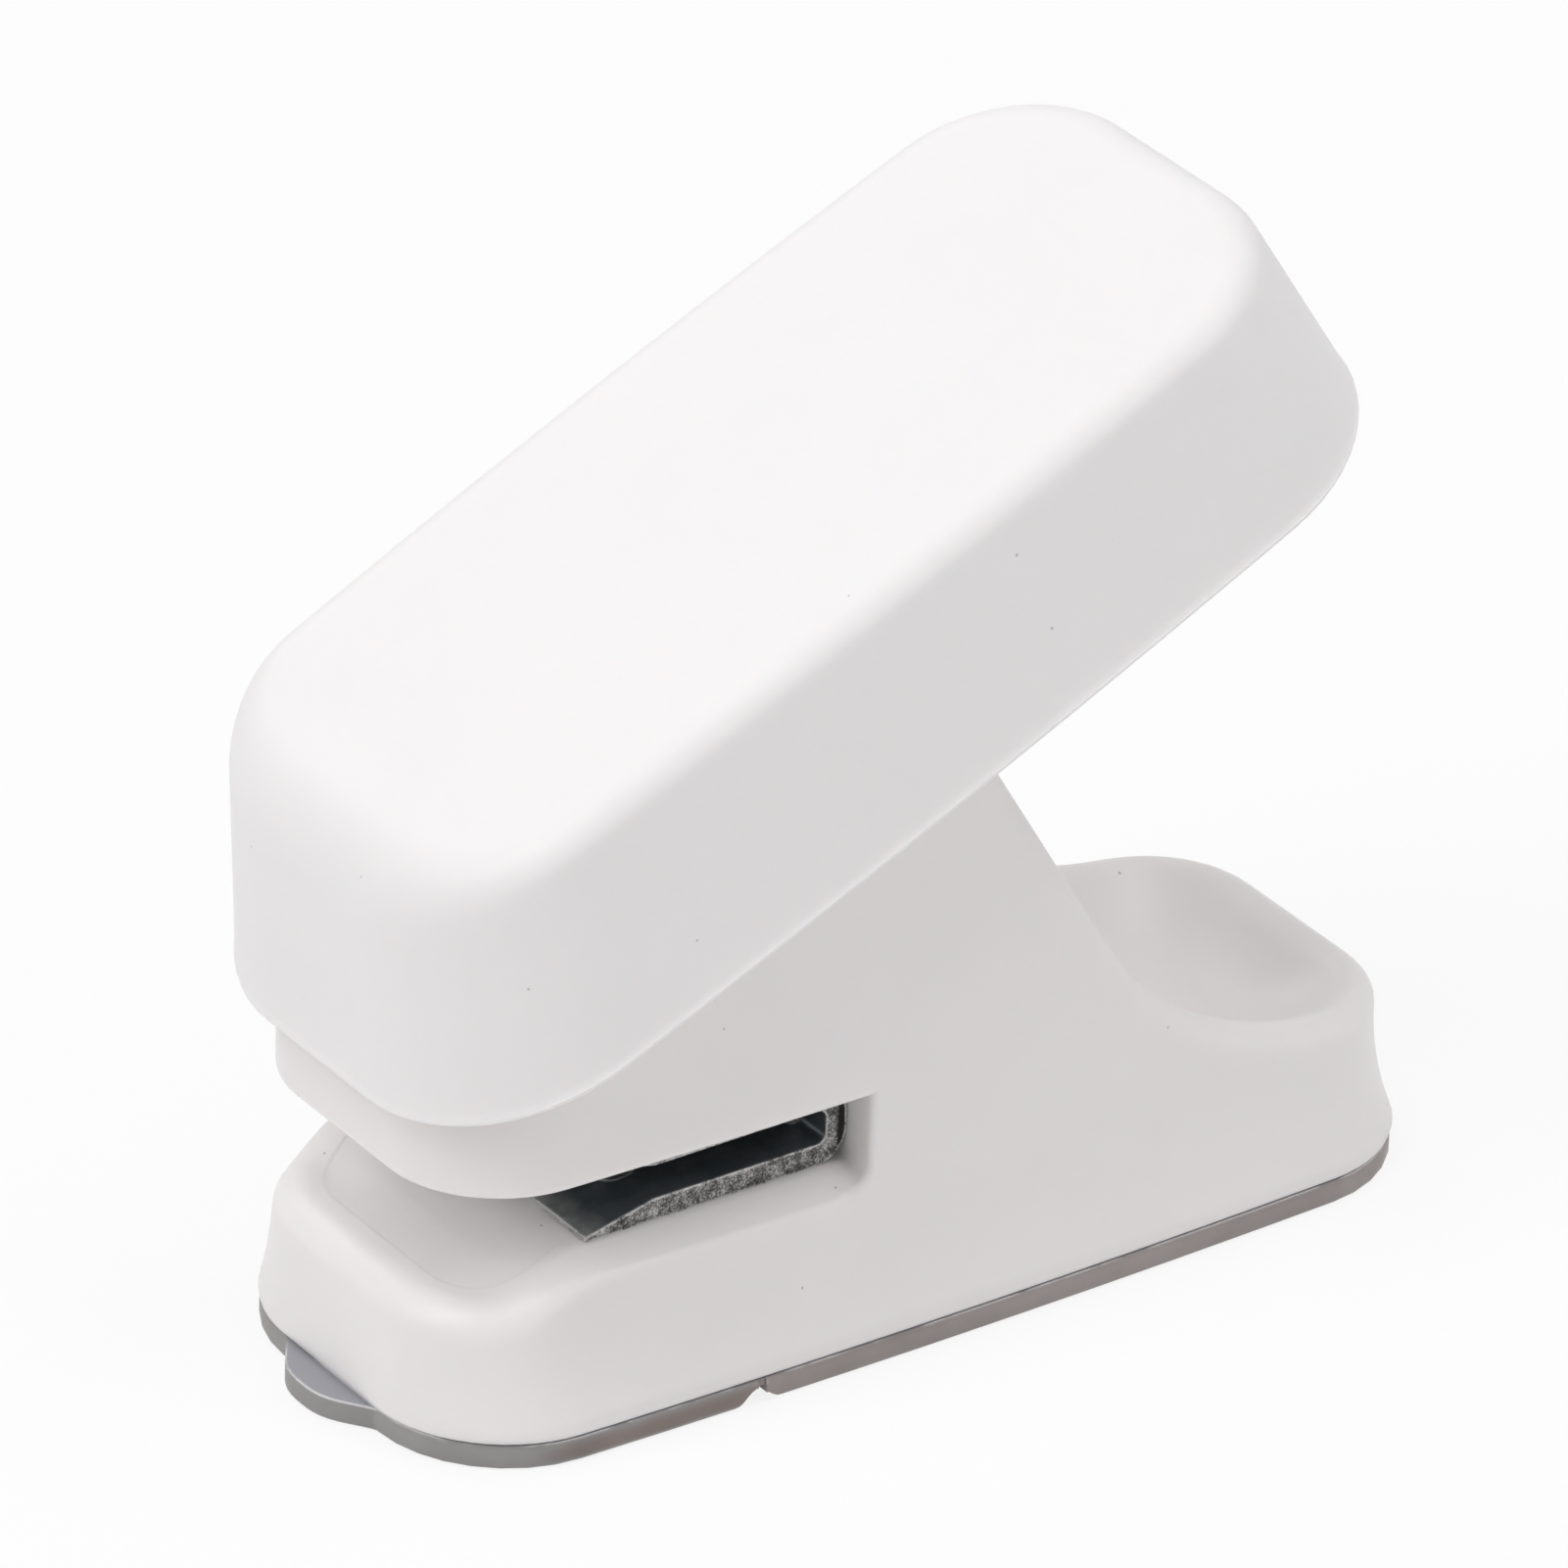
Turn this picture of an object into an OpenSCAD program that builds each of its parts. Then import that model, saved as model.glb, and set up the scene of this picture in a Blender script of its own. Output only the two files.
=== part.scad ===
// Single-hole disc binding punch: a tilted press lever over a steel throat, on a hollow base with a chip door.
// Millimetres. +X is the rear, -X the open throat, +Z up. Origin: under the middle of the base, on the table.

/* [Base] */
// Length of the base at its seam
base_l = 76; // [74:0.5:79]
// Width of the base at its ends
base_w = 28.6; // [28:0.1:30]
// Outward bow of each long side of the base
base_bow = 0.86; // [0.5:0.02:1.2]
// Corner radius of the base
base_r = 9.1; // [8.5:0.1:10]
// Height of the seam between housing and cover
seam_z = 1.8; // [1.6:0.1:2]
// How far the skirt flares out beyond the upright wall
flare = 1.6; // [1.2:0.1:1.8]
// Height over which the skirt flares
flare_h = 8.2; // [7:0.1:8.6]
// How far the front wall stands out beyond the flare's line
front_lead = 1; // [0.8:0.05:1.1]
// Wall thickness of the housing
wall = 2; // [1.8:0.1:2.1]

/* [Throat] */
// Height of the front bed
bed_z = 10.6; // [10.4:0.1:11]
// Height of the floor under the steel strip
floor_z = 13; // [12.8:0.1:13.2]
// Height of the throat roof
ceiling_z = 18.4; // [18.4:0.1:18.8]
// Depth of the throat from the base's front
throat_depth = 30.9; // [30.8:0.1:31]
// From the base's front to the ramp up from the bed
ramp_start = 7; // [6.5:0.1:8]
// Length of the ramp from bed to floor
ramp_l = 4.2; // [3.5:0.1:4.2]
// Edge rounding of the bed and floor
bed_round = 1.6; // [1.2:0.1:1.8]
// Edge rounding under the head
head_round = 0.7; // [0.4:0.1:1]
// Depth of the shallow panel in the bed
bed_step = 0.2; // [0.1:0.05:0.3]
// Margin around the shallow panel in the bed
bed_margin = 3; // [2.6:0.1:3.4]
// Fillet at the inner end of the throat
slot_fillet = 0.9; // [0.5:0.1:1.2]

/* [Neck and scoop] */
// Height of the rear rim
rim_z = 12.1; // [12:0.1:12.4]
// From the throat's end back to where the sweep meets the level rim
scoop_back = 38.5; // [38:0.1:39]
// Radius of the sweep seen from the side
scoop_r = 23.8; // [23.5:0.1:24.2]
// Rise per run of the neck
neck_slope = 1.63; // [1.6:0.01:1.68]
// Height where the neck starts to round over
neck_round_z = 40; // [39.5:0.1:40.2]
// Radius of the neck's round top
neck_top_r = 6; // [5:0.1:6.2]
// Fall per run of the housing's top edge toward the front
top_fall = 0.16; // [0.14:0.01:0.2]
// Rim rounding
rim_round = 1.4; // [1.2:0.1:1.6]
// Depth of the scoop below its rim
bowl_depth = 3.5; // [3.2:0.1:3.5]
// Width over which the scoop falls from its rim
bowl_wide = 7.4; // [7:0.1:8]
// Wall thickness under the scoop
bowl_wall = 1.2; // [1:0.05:1.25]
// Depth of the dish up the neck
neck_dish = 1; // [0.6:0.1:1.2]

/* [Lever] */
// Length of the lever along its lower edge
lever_l = 77.5; // [77:0.5:78.5]
// Width of the lever at its ends
lever_w = 34.4; // [34:0.1:35.4]
// Outward bow of each long side of the lever
lever_bow = 0.88; // [0.7:0.02:1.1]
// Corner radius of the lever
lever_r = 11.6; // [11:0.1:12]
// Height of the lever shell
lever_h = 15.9; // [15.6:0.1:16.4]
// Tilt of the lever at rest in degrees
lever_tilt = 25.3; // [25:0.1:26]
// Rearward lean of the lever's front wall
front_draft = 6.3; // [6:0.1:6.6]
// Lean of the lever's rear wall
rear_draft = 2.2; // [1.9:0.1:2.5]
// Lean of the lever's side walls
side_draft = 2; // [1.8:0.1:2.2]
// Rounding of the lever's top edge
lever_round = 2.2; // [2:0.1:2.6]
// Crown of the lever's top face
lever_crown = 0.3; // [0:0.1:0.5]
// Wall thickness of the lever shell
lever_wall = 1.6; // [1.5:0.1:1.8]
// Overhang of the lever's lower front edge beyond the base
lever_over = 1.28; // [1.2:0.02:1.5]
// Height of the lever's lower front edge
lever_front_z = 24.15; // [24.1:0.05:24.5]

/* [Steel strip and yoke] */
// Steel thickness of strip, yoke and arm
steel_t = 1.5; // [1.3:0.1:1.5]
// Width of the bent strip
strip_w = 21.8; // [21:0.1:22]
// Length of the bent strip
strip_l = 19.4; // [19:0.1:19.5]
// Gap between strip and the throat's end
strip_gap = 0.1; // [0.05:0.05:0.2]
// Inner bend radius of the strip
bend_r = 0.7; // [0.5:0.1:0.8]
// Length of the lead-in bevel at the strip's tips
bevel_l = 5; // [4:0.5:6]
// Thickness left at the bevelled tips
bevel_tip = 0.3; // [0.2:0.1:0.5]
// Side gap between the return spring and the yoke's ears
spring_room = 0.6; // [0.5:0.05:0.7]
// From the throat's end forward to the yoke's rear edge
yoke_back = 0.5; // [0.3:0.1:0.7]
// Height of the yoke's ears
yoke_top_z = 41; // [40.6:0.1:41.2]
// Side gap between the yoke's ears and the lever arm
arm_gap = 0.6; // [0.4:0.1:0.7]

/* [Punch drive] */
// From the base's front to the pivot
pivot_in = 12; // [11.6:0.1:12.4]
// Pivot height
pivot_z = 35; // [34.8:0.1:35.2]
// Pivot pin diameter
pivot_d = 3; // [2.8:0.1:3.2]
// Drive pin diameter
drive_d = 2.5; // [2.4:0.1:2.6]
// Running clearance of a pin in its bore, on the radius
pin_fit = 0.05; // [0.03:0.01:0.08]
// Half the height of a pin's slot beyond the pin's travel
slot_play = 0.2; // [0.15:0.05:0.3]
// From the throat's end forward to the punch and its drive pin
punch_in = 5.2; // [5.1:0.1:5.3]
// Stroke of the punch
stroke = 4.2; // [4:0.1:4.3]
// Radius of the mushroom's head
cap_r = 3; // [2.8:0.1:3.1]
// Width of the mushroom's stem
stem_w = 3.2; // [2.8:0.1:3.4]
// Running clearance of the punch in its guides
punch_fit = 0.06; // [0.04:0.01:0.1]
// How far the punch waits above the throat
punch_rest = 0.2; // [0.1:0.1:0.4]
// Wire diameter of the return spring
spring_wire = 0.8; // [0.7:0.05:0.9]
// Gap between the punch and the return spring
punch_room = 0.45; // [0.35:0.05:0.55]
// Turns of the return spring
spring_turns = 5; // [4.5:0.25:5.5]

/* [Cover] */
// Gap between the cover and the housing's seam
seam_gap = 0.14; // [0.1:0.01:0.16]
// Edge rounding under the cover
cover_round = 0.4; // [0.3:0.1:0.6]
// From the base's front to the living hinge
hinge_in = 22.3; // [22:0.1:22.6]
// Diameter of the living hinge's bead
hinge_d = 0.56; // [0.5:0.02:0.6]
// Forward sweep of the notch under the hinge
notch_front = 1.9; // [1.7:0.1:2.2]
// Rearward sweep of the notch under the hinge
notch_rear = 1.7; // [1.4:0.1:2]
// Height of the lip inside the seam
lip_h = 2.6; // [2:0.1:3]
// Thickness of the lip inside the seam
lip_t = 1.2; // [1:0.1:1.4]
// Clearance around the lip
lip_gap = 0.4; // [0.35:0.05:0.5]
// Half the width of the pull tab at its foot
tab_foot = 6; // [5.4:0.1:6.2]
// Reach of the pull tab beyond the base
tab_reach = 2; // [1.6:0.1:2.2]

/* [Hidden] */
$fn = 48;
half_l = base_l / 2;
half_w = base_w / 2;
front_x = -half_l;
body_in = flare;
lip_ring = 0.5;
slot_end_x = front_x + throat_depth;
ramp_x0 = front_x + ramp_start;
ramp_x1 = ramp_x0 + ramp_l;
scoop_x = slot_end_x + scoop_back;
pivot_x = front_x + pivot_in;
punch_x = slot_end_x - punch_in;
hinge_x = front_x + hinge_in;
lever_x = front_x - lever_over + lever_l / 2 * cos(lever_tilt);
lever_z = lever_front_z + lever_l / 2 * sin(lever_tilt);
neck_arc_x = scoop_x - scoop_r * neck_slope / sqrt(1 + neck_slope * neck_slope);
neck_arc_z = rim_z + scoop_r - scoop_r / sqrt(1 + neck_slope * neck_slope);
neck_round_x = neck_arc_x - (neck_round_z - neck_arc_z) / neck_slope;
neck_grow = sqrt(1 + neck_slope * neck_slope);
top_cx = neck_round_x - neck_top_r * neck_slope / neck_grow;
top_cz = neck_round_z - neck_top_r / neck_grow;
top_z = top_cz + neck_top_r;
strip_back_x = slot_end_x - strip_gap;
strip_front_x = strip_back_x - strip_l;
yoke_rear_x = slot_end_x - yoke_back;
bend_out = bend_r + steel_t;
die_top = floor_z + steel_t;
guide_low = ceiling_z - steel_t;
yoke_floor = ceiling_z + steel_t;
cap_x = punch_x - 0.5;
stem_x = slot_end_x - 1.7;
punch_reach = max(punch_x - cap_x + cap_r, norm([stem_x - punch_x, stem_w / 2]));
spring_r = punch_reach + punch_room + spring_wire / 2;
ear_in = spring_r + spring_wire / 2 + spring_room;
ear_out = ear_in + steel_t;
yoke_w = 2 * ear_out;
arm_in = ear_out + arm_gap;
arm_out = arm_in + steel_t;
clip_t = 0.6;
clip_wide = 1.3;
clip_gap = 0.15;
pin_tail = 0.45;
well_room = 0.15;
groove_w = clip_t + 0.1;
groove_in = 0.4;
pin_end = arm_out + clip_gap + clip_t + pin_tail;
drive_z = pivot_z + stroke / 2;
drive_u = (punch_x - pivot_x) * cos(lever_tilt) + (drive_z - pivot_z) * sin(lever_tilt);
drive_w = (drive_z - pivot_z) * cos(lever_tilt) - (punch_x - pivot_x) * sin(lever_tilt);
pivot_dx = pivot_x - lever_x;
pivot_dz = pivot_z - lever_z;
pivot_u = pivot_dx * cos(lever_tilt) + pivot_dz * sin(lever_tilt);
pivot_w = pivot_dz * cos(lever_tilt) - pivot_dx * sin(lever_tilt);
web_low = pivot_w + 5.4;
web_top = web_low + steel_t;
roof_in = lever_h - lever_wall;
pivot_boss_r = 4;
arm_l = 44;
arm_front = pivot_u - pivot_boss_r;
arm_rear = pivot_u + arm_l;
lever_screw_in = 9;
lever_screw_pitch = 29;
lever_screw_u = [pivot_u + lever_screw_in, pivot_u + lever_screw_in + lever_screw_pitch];
lever_screw_r = 1.25;
lever_head_r = 2.2;
lever_head_h = 1.3;
drive_boss_r = 3.1;
ear_front = pivot_x - pivot_boss_r;
punch_low = guide_low + punch_rest;
cross_low = 30;
cross_top = drive_z + 2.9;
cross_half_y = ear_in - 0.35;
cross_x0 = punch_x - 4.6;
cross_x1 = punch_x + 4.4;
cross_bevel = 2;
ear_back = 3.4;
over_cut = 1;
tang_t = 2.4;
tang_l = 5.6;
tang_top = cross_low + 4.6;
blade_pin_r = 0.75;
blade_pin_z = cross_low + 2.4;
washer_t = 0.6;
washer_in = spring_r - 0.55;
washer_out = spring_r + 0.1;
spring_low = yoke_floor + washer_t;
frame_screw_x = strip_front_x + 5;
frame_screw_y = strip_w / 2 - 4.5;
frame_screw_r = 1.25;
frame_head_r = 2.1;
frame_head_h = 1.4;
yoke_screw_x = [strip_front_x + 2.4, strip_front_x + 7];
yoke_screw_y = ear_in - 2.3;
yoke_screw_r = 0.9;
yoke_head_r = 1.6;
yoke_head_h = 1.1;
chute_gap = 1.3;
chute_x0 = cap_x - cap_r - chute_gap - 0.5;
chute_x1 = stem_x + 0.4;
chute_w = 2 * (cap_r + chute_gap);
hinge_z = seam_z - hinge_d / 2 - 0.12;
hinge_half = half_w + base_bow * (1 - pow(hinge_x / half_l, 2)) - 0.25;
spring_gap = (cross_low - spring_low - spring_wire) / spring_turns - spring_wire;
echo(spring_gap = spring_gap);

// Points of an arc
function arc(x, y, r, a0, a1, n) = [for (i = [0:n]) let (a = a0 + (a1 - a0) * i / n) [x + r * cos(a), y + r * sin(a)]];

// Points spaced evenly between two points, ends left out
function between(p, q, n) = [for (i = [1:n]) p + (q - p) * i / (n + 1)];

// A rounded rectangle whose long sides bow outward, counted from the middle of its +X end
function outline(a, b, r, bow, nc, nl, ns) =
    let (rr = max(min(r, b - 0.05), 0.3), xs = a - rr, ys = b - rr)
    let (pts = concat(
        between([a, -ys], [a, ys], ns), arc(xs, ys, rr, 0, 90, nc),
        between([xs, b], [-xs, b], nl), arc(-xs, ys, rr, 90, 180, nc),
        between([-a, ys], [-a, -ys], ns), arc(-xs, -ys, rr, 180, 270, nc),
        between([-xs, -b], [xs, -b], nl), arc(xs, -ys, rr, 270, 360, nc)))
    [for (p = pts) [p.x, p.y * (1 + bow / b * (1 - pow(p.x / a, 2)))]];

// The front wall stands out by the lead where the flare ends, and not at all at the seam
function lead(pts, inset) =
    let (d = front_lead * min(1, max(0, inset / flare)), a = half_l - inset)
    [for (p = pts) [p.x - d * pow(max(0, -p.x / a), 3), p.y]];

function base_outline(inset) =
    lead(outline(half_l - inset, half_w - inset, base_r - inset, base_bow, 8, 22, 3), inset);

// The same outline with other spacings, so that skins that cut each other share no points
function throat_outline(inset) =
    lead(outline(half_l - inset, half_w - inset, base_r - inset + 0.23, base_bow, 9, 27, 5), inset);

function hollow_outline(inset) =
    lead(outline(half_l - inset, half_w - inset, base_r - inset + 0.37, base_bow, 7, 10, 2), inset);

function cover_outline(inset) = outline(half_l - inset, half_w - inset, base_r - inset, base_bow, 8, 8, 3);

// Triangles between two neighbouring rings of n points
function strip(p, q, n) =
    [for (i = [0:n - 1]) let (k = (i + 1) % n) each [[p + i, q + i, q + k], [p + i, q + k, p + k]]];

// Triangles that close a ring of n points across its mirror line, which runs through point c
function zip(p, n, c) =
    [for (i = [0:n / 2 - 1])
        let (a = p + (c + i) % n, b = p + (c + i + 1) % n, d = p + (c - i - 1 + n) % n, e = p + (c - i + n) % n)
        each concat(b == d ? [] : [[a, b, d]], a == e ? [] : b == d ? [[a, b, e]] : [[a, d, e]])];

function flip(faces) = [for (f = faces) [f[2], f[1], f[0]]];

// A solid skinned over a stack of rings, closed at both ends across point c
module skin(rings, c) {
    n = len(rings[0]);
    m = len(rings);
    sides = [for (j = [0:m - 2]) each strip(j * n, (j + 1) * n, n)];
    polyhedron([for (r = rings) each r], concat(sides, zip(0, n, c), flip(zip((m - 1) * n, n, c))));
}

// A cup skinned over outer and inner rings, open below, its roofs closed across point c
module cup(outer, inner, c) {
    n = len(outer[0]);
    m = len(outer);
    k = len(inner);
    out = [for (j = [0:m - 2]) each strip(j * n, (j + 1) * n, n)];
    inn = [for (j = [0:k - 2]) each flip(strip((m + j) * n, (m + j + 1) * n, n))];
    ends = concat(flip(zip((m - 1) * n, n, c)), zip((m + k - 1) * n, n, c), flip(strip(0, m * n, n)));
    polyhedron([for (r = concat(outer, inner)) each r], concat(out, inn, ends));
}

// A smooth step from 0 to 1
function ease(t) = let (c = min(1, max(0, t))) c * c * (3 - 2 * c);

// Side view of the housing's upper edge: level rim, concave sweep, straight neck, round top, falling front
function rim(x) =
    x > scoop_x ? rim_z :
    x > neck_arc_x ? rim_z + scoop_r - sqrt(scoop_r * scoop_r - pow(scoop_x - x, 2)) :
    x > neck_round_x ? neck_arc_z + (neck_arc_x - x) * neck_slope :
    x > top_cx ? top_cz + sqrt(neck_top_r * neck_top_r - pow(x - top_cx, 2)) :
    top_z - (top_cx - x) * top_fall;

// Growth of a vertical measure on the slope of that edge
function slope_grow(x) = let (d = (rim(x + 0.05) - rim(x - 0.05)) / 0.1) sqrt(1 + d * d);

// Depth of the dish behind the edge
bowl_run = 14;
dish_edge = 0.06;

function sunk(x) = ease((x - neck_arc_x) / bowl_run);

function dish(x) = neck_dish + (bowl_depth - neck_dish) * sunk(x);

// Share of that depth at a distance from the wall: a soft crest, then a bowl
function crest(t) = sqrt(t * t + dish_edge * dish_edge) - dish_edge;

function dish_shape(s) =
    let (t = max(0, s - rim_round) / bowl_wide)
    1 - pow(1 - min(1, crest(t) / crest(1)), 2);

function bed(x) = bed_z + (floor_z - bed_z) * ease((x - ramp_x0) / (ramp_x1 - ramp_x0));

function panel(x, s) = bed_step * ease((s - bed_margin) / 0.35) * (1 - ease((x - ramp_x0) / 1.5));

// Rings of the housing's outer form, from the seam up the skirt, over the rim and into the scoop
round_steps = [0, 22.5, 45, 67.5, 90];
flare_steps = [0, 0.12, 0.28, 0.48, 0.72, 1];
dish_steps = [1.75, 2.2, 2.8, 3.8, 5, 6.4, 8, 10, 12];

function flat_ring(inset, z) = [for (p = base_outline(inset)) [p.x, p.y, z]];

function round_ring(a) =
    [for (p = base_outline(body_in + rim_round * (1 - cos(a))))
        [p.x, p.y, rim(p.x) - rim_round * (1 - sin(a)) * slope_grow(p.x)]];

function dish_ring(s) =
    [for (p = base_outline(body_in + s)) [p.x, p.y, rim(p.x) - dish(p.x) * dish_shape(s)]];

module outer_form() {
    skin(concat(
        [flat_ring(0.3, seam_z)],
        [for (t = flare_steps) flat_ring(flare * (1 - pow(1 - t, 2)), seam_z + lip_ring + flare_h * t)],
        [for (a = round_steps) round_ring(a)],
        [for (s = dish_steps) dish_ring(s)]), 1);
}

// The throat as a solid: its under side is the bed, its upper side the head's lower face
function bed_ring(s, drop) =
    [for (p = throat_outline(body_in + s)) [p.x, p.y, bed(p.x) - drop - panel(p.x, s)]];

function roof_ring(s, lift) = [for (p = throat_outline(body_in + s)) [p.x, p.y, ceiling_z + lift]];

module throat() {
    intersection() {
        skin(concat(
            [for (s = [12, 8, bed_margin + 0.4, bed_margin, bed_round]) bed_ring(s, 0)],
            [for (a = [67.5, 45, 22.5, 0]) bed_ring(bed_round * (1 - cos(a)), bed_round * (1 - sin(a)))],
            [bed_ring(-3, bed_round)],
            [roof_ring(-3, head_round)],
            [for (a = [0, 30, 60, 90]) roof_ring(head_round * (1 - cos(a)), head_round * (1 - sin(a)))],
            [roof_ring(12, 0)]), 2);
        rotate([90, 0, 0])
            linear_extrude(base_w * 2, center = true) throat_end();
    }
}

module throat_end() {
    front = -base_l;
    low = floor_z + slot_fillet;
    translate([front, 0]) square([slot_end_x - slot_fillet - front, base_l]);
    translate([front, low]) square([slot_end_x - front, base_l]);
    translate([slot_end_x - slot_fillet, low]) circle(slot_fillet);
}

// Side view of the hollow inside: chip chamber, neck and mechanism well
function under(x) = rim(x) - dish(x) - (wall + (bowl_wall - wall) * sunk(x)) * slope_grow(x);

module hollow_side() {
    in_x = half_l - body_in - wall;
    near_x = -in_x - front_lead;
    well_x = top_cx + 0.4;
    steps = 16;
    polygon(concat(
        [[near_x, 0], [near_x, bed_z - wall], [ramp_x0 + 1, bed_z - wall], [ramp_x1 + 1, floor_z - wall]],
        [[slot_end_x + wall, floor_z - wall], [slot_end_x + wall, ceiling_z + wall], [near_x, ceiling_z + wall]],
        [[near_x, base_l], [well_x, base_l]],
        [for (i = [0:steps]) let (x = well_x + (in_x - well_x) * i / steps) [x, under(x)]],
        [[in_x, 0]]));
}

module hollow() {
    intersection() {
        linear_extrude(base_l) polygon(hollow_outline(body_in + wall));
        rotate([90, 0, 0])
            linear_extrude(base_w * 2, center = true) hollow_side();
    }
}

// A block with rounded upright edges
module soft_block(x0, x1, y0, y1, z0, z1, r) {
    hull()
        for (x = [x0 + r, x1 - r], y = [y0 + r, y1 - r])
            translate([x, y, z0]) cylinder(r = r, h = z1 - z0, $fn = 24);
}

// Room in the well for pieces that reach out to half_y, open upward
module well_pocket(x0, x1, half_y, low) {
    y = half_y + well_room;
    translate([x0 - well_room, -y, low]) cube([x1 - x0 + 2 * well_room, 2 * y, base_l]);
}

// The moulded body: base skirt, bed, throat, head, neck and scoop, hollow inside
module housing() {
    rib_t = 1.2;
    rib_low = seam_z + lip_h + 0.8;
    in_y = half_w - body_in - wall;
    ribs = 4;
    rib_first = slot_end_x + 4.1;
    rib_last = half_l - base_r - 2.9;
    rib_x = [for (i = [0:ribs - 1]) rib_first + (rib_last - rib_first) * i / (ribs - 1)];
    pin_low = drive_z - stroke - drive_d / 2 - clip_wide - well_room;
    color("white") {
        difference() {
            outer_form();
            throat();
            hollow();
            soft_block(ear_front - 0.6, yoke_rear_x + 0.25, -ear_out - 0.4, ear_out + 0.4, floor_z + 3,
                       ceiling_z + wall + 1, 0.6);
            soft_block(chute_x0, chute_x1, -chute_w / 2, chute_w / 2, floor_z - wall - 1, floor_z + 1, 1);
            for (y = [-frame_screw_y, frame_screw_y])
                translate([frame_screw_x, y, floor_z - wall - 1]) cylinder(r = frame_screw_r + 0.25, h = wall + 2);
            well_pocket(pivot_x - pivot_d / 2 - clip_wide, punch_x + drive_d / 2 + clip_wide, pin_end, pin_low);
            well_pocket(ear_front - well_room, top_cx, arm_out + well_room, pin_low);
        }
        for (x = rib_x, side = [-1, 1])
            soft_block(x, x + rib_t, side > 0 ? in_y - 1.6 : -in_y - 1.2, side > 0 ? in_y + 1.2 : -in_y + 1.6,
                       rib_low, bed_z - wall - 1.6, 0.4);
    }
}

// Side view of the bent strip: two plates joined by the throat's back wall
module strip_side() {
    l = strip_back_x - strip_front_x;
    h = ceiling_z - floor_z;
    gap = h - 2 * steel_t;
    translate([strip_front_x, floor_z]) difference() {
        union() {
            square([l - bend_out, h]);
            translate([0, bend_out]) square([l, h - 2 * bend_out]);
            translate([l - bend_out, bend_out]) circle(bend_out);
            translate([l - bend_out, h - bend_out]) circle(bend_out);
        }
        translate([-1, steel_t]) square([l + 1 - steel_t - bend_r, gap]);
        translate([-1, steel_t + bend_r]) square([l + 1 - steel_t, gap - 2 * bend_r]);
        translate([l - steel_t - bend_r, steel_t + bend_r]) circle(bend_r);
        translate([l - steel_t - bend_r, h - steel_t - bend_r]) circle(bend_r);
        polygon([[-1, bevel_tip], [0, bevel_tip], [bevel_l, steel_t], [bevel_l, h / 2], [-1, h / 2]]);
        polygon([[-1, h - bevel_tip], [0, h - bevel_tip], [bevel_l, h - steel_t], [bevel_l, h / 2], [-1, h / 2]]);
    }
}

// Outline of the punched hole: a round head on a stem that runs out over the paper's edge
module mushroom(grow) {
    translate([cap_x, 0]) circle(cap_r + grow);
    translate([cap_x, -stem_w / 2 - grow]) square([stem_x + grow - cap_x, stem_w + 2 * grow]);
}

// The bent steel strip with the die hole below and the guide hole above
module die_frame() {
    stop_r = 0.8;
    stop_y = strip_w / 2 - 3.5;
    color("silver") {
        difference() {
            union() {
                rotate([90, 0, 0]) linear_extrude(strip_w, center = true) strip_side();
                for (y = [-stop_y, stop_y])
                    translate([strip_back_x - steel_t, y, die_top - 0.2])
                        cylinder(r = stop_r, h = guide_low - die_top + 0.4);
            }
            translate([0, 0, floor_z - 1]) linear_extrude(ceiling_z - floor_z + 2) mushroom(punch_fit);
            for (y = [-frame_screw_y, frame_screw_y])
                translate([frame_screw_x, y, floor_z - 1]) cylinder(r = frame_screw_r, h = steel_t + 1.5);
            for (x = yoke_screw_x, y = [-yoke_screw_y, yoke_screw_y])
                translate([x, y, guide_low - 0.5]) cylinder(r = yoke_screw_r, h = steel_t + 1);
        }
    }
}

// A pan head screw pointing up, its head below the origin
module pan_screw(r, head_r, head_h, l) {
    slot = head_r * 0.32;
    difference() {
        union() {
            cylinder(r = r, h = l);
            translate([0, 0, -head_h]) cylinder(r1 = head_r * 0.8, r2 = head_r, h = head_h * 0.4);
            translate([0, 0, -head_h * 0.6]) cylinder(r = head_r, h = head_h * 0.6);
        }
        for (a = [0, 90])
            rotate(a) translate([-head_r * 0.6, -slot / 2, -head_h - 0.1]) cube([head_r * 1.2, slot, head_h * 0.6]);
    }
}

// Two screws up through the floor into the strip's lower plate
module frame_screws() {
    color("silver")
        for (y = [-frame_screw_y, frame_screw_y])
            translate([frame_screw_x, y, floor_z - wall])
                pan_screw(frame_screw_r, frame_head_r, frame_head_h, wall + steel_t - 0.2);
}

// The room that the yoke's ears fill, seen from the side
module ear_block() {
    top_r = 2.5;
    ear_rear = punch_x + ear_back;
    union() {
        cross_bore(pivot_x, pivot_z, pivot_boss_r, yoke_w);
        rotate([90, 0, 0]) linear_extrude(yoke_w + 2, center = true)
            polygon([[ear_front, ceiling_z], [ear_front + 0.3, pivot_z], [pivot_x, pivot_z + pivot_boss_r - 0.1],
                [punch_x - 4, yoke_top_z], [ear_rear - top_r, yoke_top_z], [ear_rear, yoke_top_z - top_r],
                [ear_rear, yoke_floor], [yoke_rear_x, yoke_floor], [yoke_rear_x, ceiling_z]]);
    }
}

// End view of a channel of sheet steel, open upward
module channel(half, h, t, r) {
    difference() {
        union() {
            translate([-half, r]) square([2 * half, h - r]);
            translate([-half + r, 0]) square([2 * (half - r), h]);
            for (s = [-1, 1]) translate([s * (half - r), r]) circle(r);
        }
        translate([-half + t, t]) square([2 * (half - t), h]);
    }
}

// A slot along Z, right through along Y
module pin_slot(x, z0, z1, r, half) {
    for (z = [z0, z1]) translate([x, half, z]) rotate([90, 0, 0]) cylinder(r = r, h = 2 * half);
    translate([x - r, -half, z0]) cube([2 * r, 2 * half, z1 - z0]);
}

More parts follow.
